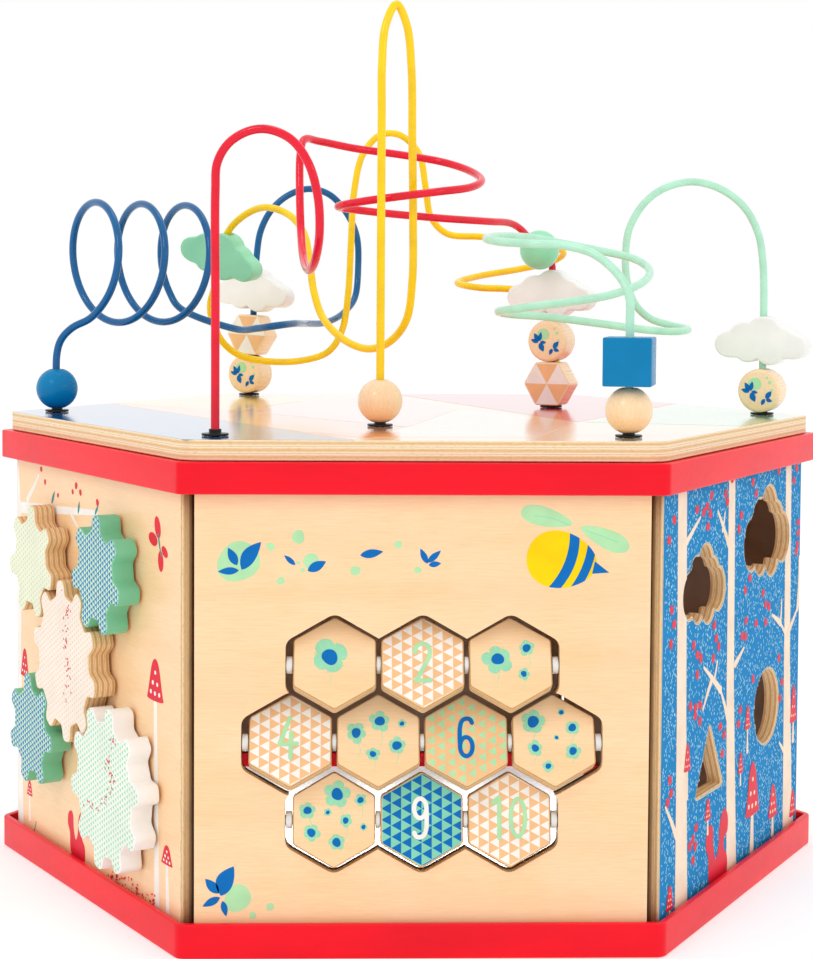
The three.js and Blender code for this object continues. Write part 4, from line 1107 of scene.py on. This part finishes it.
def track(z, r, n):
    """The outline at r from a slot's middle line."""
    return arc(71.001, z, r, -90, 90, n) + arc(-66.001, z, r, 90, 270, n)


def slide_wall():
    wall("track_panel", 4, "wall_wood", "rear_left_wall", WALL_WOOD,
         [track(z, 4, 12) for z, _ in TRACKS.values()], 1.2)
    show = printer("track", wall_plane(4), "root")
    for z, tone in TRACKS.values():
        show(f"band_{z}", [[track(z, 10, 16), track(z, 5.6, 16)]], tone)
        show(f"leaves_{z}", [leaf((x, z + 12), (x + 7, z + 21), 5) for x in range(-60, 70, 22)], "blue")
    profile = rounded([(0, -12.5), (8, -12.5), (8, -10), (3.4, -10), (3.4, 1), (11.5, 1), (13, 4), (13, 13),
                       (10, 16), (0, 16)], 1.0, 4)
    for name, (z, _) in TRACKS.items():
        node = f"slide_knob_{name}"
        knob = lathe(f"knob_{name}", profile, 56, KNOB_RED, wall_plane(4, -60, z))
        stand_for(knob, BODY_OF[node], "red_paint", node)


# ---- Wires ----
CORNER_FOOT, INNER_FOOT = 246.5, 250.8


def coil_route():
    """Three loops round an axis that runs right and away from the front."""
    angle = math.radians(40.6)
    points = []
    for turn in range(-50, 951, 20):
        along, side = 33.8 * turn / 360, 37 * math.cos(math.radians(turn))
        points.append((-201 + math.cos(angle) * along + math.sin(angle) * side,
                       10 + math.sin(angle) * along - math.cos(angle) * side,
                       357.5 + 37 * math.sin(math.radians(turn))))
    return points


ROUTES = {
    "red": [
        (-108, -186, CORNER_FOOT), (-108, -186, 290), (-108, -186, 340), (-108, -187, 394), (-107, -188, 408),
        (-101, -190, 418), (-91, -192, 424), (-81, -194, 425), (-69, -196, 420), (-60, -198, 408),
        (-55, -197, 391), (-54, -192, 374), (-56, -176, 360), (-60, -148, 353), (-64, -112, 360),
        (-66, -88, 376), (-67, -76, 399), (-67, -68, 419), (-65, -57, 429), (-56, -42, 429), (-35, -26, 426),
        (-8, -18, 423), (16, -20, 419), (32, -36, 413), (38, -60, 406), (30, -80, 401), (12, -94, 398),
        (-10, -98, 395), (-33, -90, 392), (-45, -72, 390), (-37, -54, 389), (-15, -42, 387), (16, -26, 385),
        (47, 2, 384), (62, 24, 383.5), (68.5, 32, 380.5), (75, 40.5, 374.5), (82.5, 50, 367.5),
        (88.2, 57.2, 363), (91.5, 61.3, 359), (92, 62, 355), (92, 62, 340), (92, 62, 290),
        (92, 62, INNER_FOOT)],
    "mint": [
        (108, -186, CORNER_FOOT), (108, -186, 290), (108, -186, 328), (108, -184, 339), (105, -180, 348),
        (99, -174, 356), (90, -167, 363), (76, -160, 367), (58, -154, 368), (44, -142, 369), (37, -120, 371),
        (45, -94, 373), (66, -66, 373), (87, -50, 370), (110, -40, 366), (128, -43, 362), (135, -58, 357),
        (134, -78, 352), (124, -102, 346), (104, -120, 340), (77, -131, 336), (55, -130, 333),
        (45, -110, 331), (53, -84, 329), (78, -62, 327), (110, -46, 323), (141, -36, 319), (161, -20, 318),
        (169, -2, 319), (161, 10, 321), (148, 11, 325), (138, 8, 334), (132, 4, 350), (131, 2, 367),
        (133, 0, 381), (142, 0, 396), (154, 0, 405), (171, 0, 409), (188, 0, 405), (203, 0, 394),
        (212, 0, 378), (215, 0, 362), (216, 0, 345), (216, 0, 300), (216, 0, CORNER_FOOT)],
    "yellow": [
        (-21, -113, INNER_FOOT), (-21, -113, 300), (-21, -113, 380), (-21, -113, 440), (-21, -113, 466),
        (-19, -110, 489), (-13, -106, 501), (-7, -100, 490), (-4, -92, 466), (-3, -82, 428), (-2, -74, 382),
        (-2, -67, 348), (-5, -58, 325), (-14, -46, 312), (-26, -34, 307), (-40, -18, 311), (-54, 2, 324),
        (-60, 14, 340), (-63, 26, 359), (-67, 40, 377), (-77, 56, 389), (-93, 72, 394), (-107, 85, 389),
        (-118, 95, 378), (-122, 99, 362), (-126, 103, 346), (-130, 106, 328), (-124, 110, 309),
        (-113, 117, 298), (-95, 126, 293), (-70, 137, 293), (-52, 144, 299), (-43, 148, 313), (-39, 150, 337),
        (-37, 152, 375), (-35, 153, 409), (-29, 155, 434), (-17, 157, 447), (-4, 158, 447), (9, 160, 435),
        (14, 161, 412), (18, 162, 391), (29, 163, 380), (52, 163, 378), (80, 165, 376), (103, 173, 372),
        (112, 184, 367), (104, 195, 361), (82, 194, 356), (53, 178, 351), (36, 152, 346), (50, 132, 343),
        (73, 132, 342), (93, 148, 337), (105, 172, 325), (108, 185, 308), (108, 186, 290),
        (108, 186, CORNER_FOOT)],
    "blue": [
        (-216, 0, CORNER_FOOT), (-216, 0, 275), (-216, 0, 302), (-213, -1, 311), (-206, -3, 318),
        (-196, -6, 323), *coil_route(), (-111, 63, 316), (-96, 40, 317), (-84, 27, 319), (-74, 42, 320),
        (-66, 90, 319), (-54, 130, 319), (-42, 162, 325), (-34, 180, 336), (-32, 187, 355), (-33, 188, 378),
        (-40, 188, 394), (-52, 187, 407), (-66, 186, 411), (-80, 186, 407), (-92, 186, 397),
        (-100, 186, 382), (-103, 186, 363), (-104.2, 186, 340), (-106.3, 186, 300), (-107.8, 186, 276),
        (-108, 186, 270), (-108, 186, 262), (-108, 186, CORNER_FOOT)]}


def wires():
    for name, code in (("red", "EA0A2E"), ("mint", "B8EBCF"), ("yellow", "FFD400"), ("blue", "005F98")):
        rail = tube("rail_" + name, ROUTES[name], WIRE_R, coated_wire(name + "_wire", code))
        stand_for(rail, "root", name + "_wire", "wire_" + name)


# ---- Beads ----
BEAD_TURN, CUBE_TURN = -27, -14
BEAD_FLOOR = BOARD_TOP + 0.3 + 1.2 + BEAD_GAP  # on the grommets' flanges
FLAT_BEADS = {"disc": (9, 13.3), "hexagon": (8, 13.8), "cloud": (7, 15)}  # half thickness, half height


def ball(node, material, slot, x, y, z, lean=(0, 0, 1)):
    low = math.degrees(math.acos(BEAD_BORE / BALL_R)) - 2.2
    outside = arc(0, 0, BALL_R, -low, low, 40)
    profile = outside + [(BEAD_BORE, outside[-1][1] - 0.9), (BEAD_BORE, outside[0][1] + 0.9)]
    bead = lathe(node.replace("bead", "ball"), profile, 64, material, upright(x, y, z, 0, lean))
    stand_for(bead, BODY_OF[node], slot, node)


def cube_bead(x, y, z):
    place, s = upright(x, y, z, CUBE_TURN), CUBE_HALF
    cube = plate("toy_blue_cube", [rounded([(-s, -s), (s, -s), (s, s), (-s, s)], 0.9, 4)], -s, s, 0.8,
                 [BLUE_PAINT], place, steps=5)
    carve(cube, [drill(BEAD_BORE, 60, BLUE_PAINT, place)])
    stand_for(cube, BODY_OF["bead_blue_cube"], "blue_paint", "bead_blue_cube")


def cloud_bead_outline():
    """The cloud with its creases eased, as a turned and sanded bead has them."""
    points = [Vector(p) for p in cloud(58, 30)]
    shares = {k: math.exp(-(k / 2.6) ** 2) for k in range(-10, 11)}
    return [tuple(sum((points[(i + k) % len(points)] * share for k, share in shares.items()), Vector((0, 0)))
                  / sum(shares.values())) for i in range(len(points))]


DISC_BLOTS = [blot(-1.8, 3.4, 6.4, 3), blot(5.6, 4.2, 1.8, 4), blot(4.2, 6.4, 1.2, 6), blot(6.6, 0.6, 1.3, 8)]
DISC_LEAVES = [leaf(*row) for row in (
    ((-4.4, -0.6), (-8.6, 0.6), 2.2), ((-4.4, -0.2), (-6.8, 4.0), 2.4), ((-4.0, -0.2), (-3.0, 4.6), 2.2),
    ((-3.8, -1.0), (-1.6, -5.4), 3.0), ((-3.6, -0.6), (-0.2, -0.8), 1.8), ((3.6, -3.6), (6.6, 0.0), 2.6),
    ((3.2, -3.8), (1.6, -7.0), 2.0), ((3.8, -4.0), (7.0, -5.0), 2.0))]


def flat_bead(node, kind, material, slot, x, y, z, lean=(0, 0, 1)):
    """A disc, hexagon or cloud standing on edge, bored from top to bottom; discs and hexagons are printed on
    both faces.
    """
    stand = upright(x, y, z, BEAD_TURN, lean)
    place = stand @ FACING
    name = node.replace("bead_", "toy_")
    half = FLAT_BEADS[kind][0]
    if kind == "disc":
        top = arc(11.1, 6.8, 2.2, 0, 90, 8)
        profile = [(0, -half)] + [(r, -t) for r, t in top[::-1]] + top + [(0, half)]
        bead = lathe(name, profile, 64, material, place)
    elif kind == "hexagon":
        bead = plate(name, [rounded(hexagon(13.8), 1.6, 4)], -half, half, 0.7, [material], place, steps=4)
    else:
        bead = plate(name, [cloud_bead_outline()], -half, half, 1.6, [material], place, steps=5)
        for polygon in bead.data.polygons:
            polygon.use_smooth = True
        bead.data.set_sharp_from_angle(angle=math.radians(60))
    carve(bead, [drill(BEAD_BORE, 60, material, stand)])
    stand_for(bead, BODY_OF[node], slot, node)
    for side, turn in (("front", 0), ("back", math.pi)):
        face = place @ Matrix.Rotation(turn, 4, "Y") @ Matrix.Translation((0, 0, half * MM))
        show = printer(name, face, BODY_OF[node])
        if kind == "disc":
            show("mint_" + side, [shifted(b, scale=1.25) for b in DISC_BLOTS], "mint")
            show("leaves_" + side, [shifted(b, scale=1.25) for b in DISC_LEAVES], "blue", 1)
        elif kind == "hexagon":
            region = hexagon(13.0)
            show("ground_" + side, [region], "white")
            show("points_" + side, [shifted([(0, 0), region[i], region[(i + 1) % 6]], scale=0.985)
                                    for i in (1, 3, 5)], "peach", 1)


def stack(where, x, y, kinds, lean=(0, 0, 1)):
    """Flat beads on one wire, from the board up."""
    looks = {"disc": (BEAD_WOOD, "leaf_bead"), "hexagon": (BEAD_WOOD, "peach_bead"),
             "cloud": (WHITE_PAINT, "white_paint")}
    z = BEAD_FLOOR
    for kind in kinds:
        z += FLAT_BEADS[kind][1]
        aside = (z - BOARD_TOP) * lean[0] / lean[2]
        flat_bead(f"bead_{where}_{kind}", kind, *looks[kind], x + aside, y, z, lean)
        z += FLAT_BEADS[kind][1] + BEAD_GAP


def beads():
    ball("bead_blue_ball", BLUE_PAINT, "blue_paint", -216, 0, BEAD_FLOOR + BALL_R)
    ball("bead_yellow_wire_ball", BEAD_WOOD, "bead_wood", -21, -113, BEAD_FLOOR + BALL_R)
    ball("bead_mint_wire_ball", BEAD_WOOD, "bead_wood", 108, -186, BEAD_FLOOR + BALL_R)
    ball("bead_mint_ball", GREEN_PAINT, "green_paint", 82.5, 50, 367.5, (-13.2, -16.7, 11.5))
    cube_bead(108, -186, BEAD_FLOOR + 2 * BALL_R + BEAD_GAP + CUBE_HALF)
    stack("right", 216, 0, ("disc", "cloud"))
    stack("back_left", -108, 186, ("disc", "hexagon", "cloud"), (5.1, 0, 97))
    flat_bead("bead_green_cloud", "cloud", GREEN_PAINT, "green_paint", -122, 99, 362, (4, -4, 16))
    stack("back_right", 92, 62, ("hexagon", "disc", "cloud"))


studio()
frames()
board()
front_wall()
tiles()
front_prints()
gears()
gear_prints()
sorter()
wall("rear_right_panel", 2, "wall_wood", "rear_right_wall", WALL_WOOD)
wall("rear_panel", 3, "wall_wood", "rear_wall", WALL_WOOD)
wall("gear_panel", 5, "wall_wood", "gear_wall", WALL_WOOD,
     [disc(*gear_place(*gear[:2])[:2], 3.9) for gear in GEARS.values()])
slide_wall()
wires()
beads()
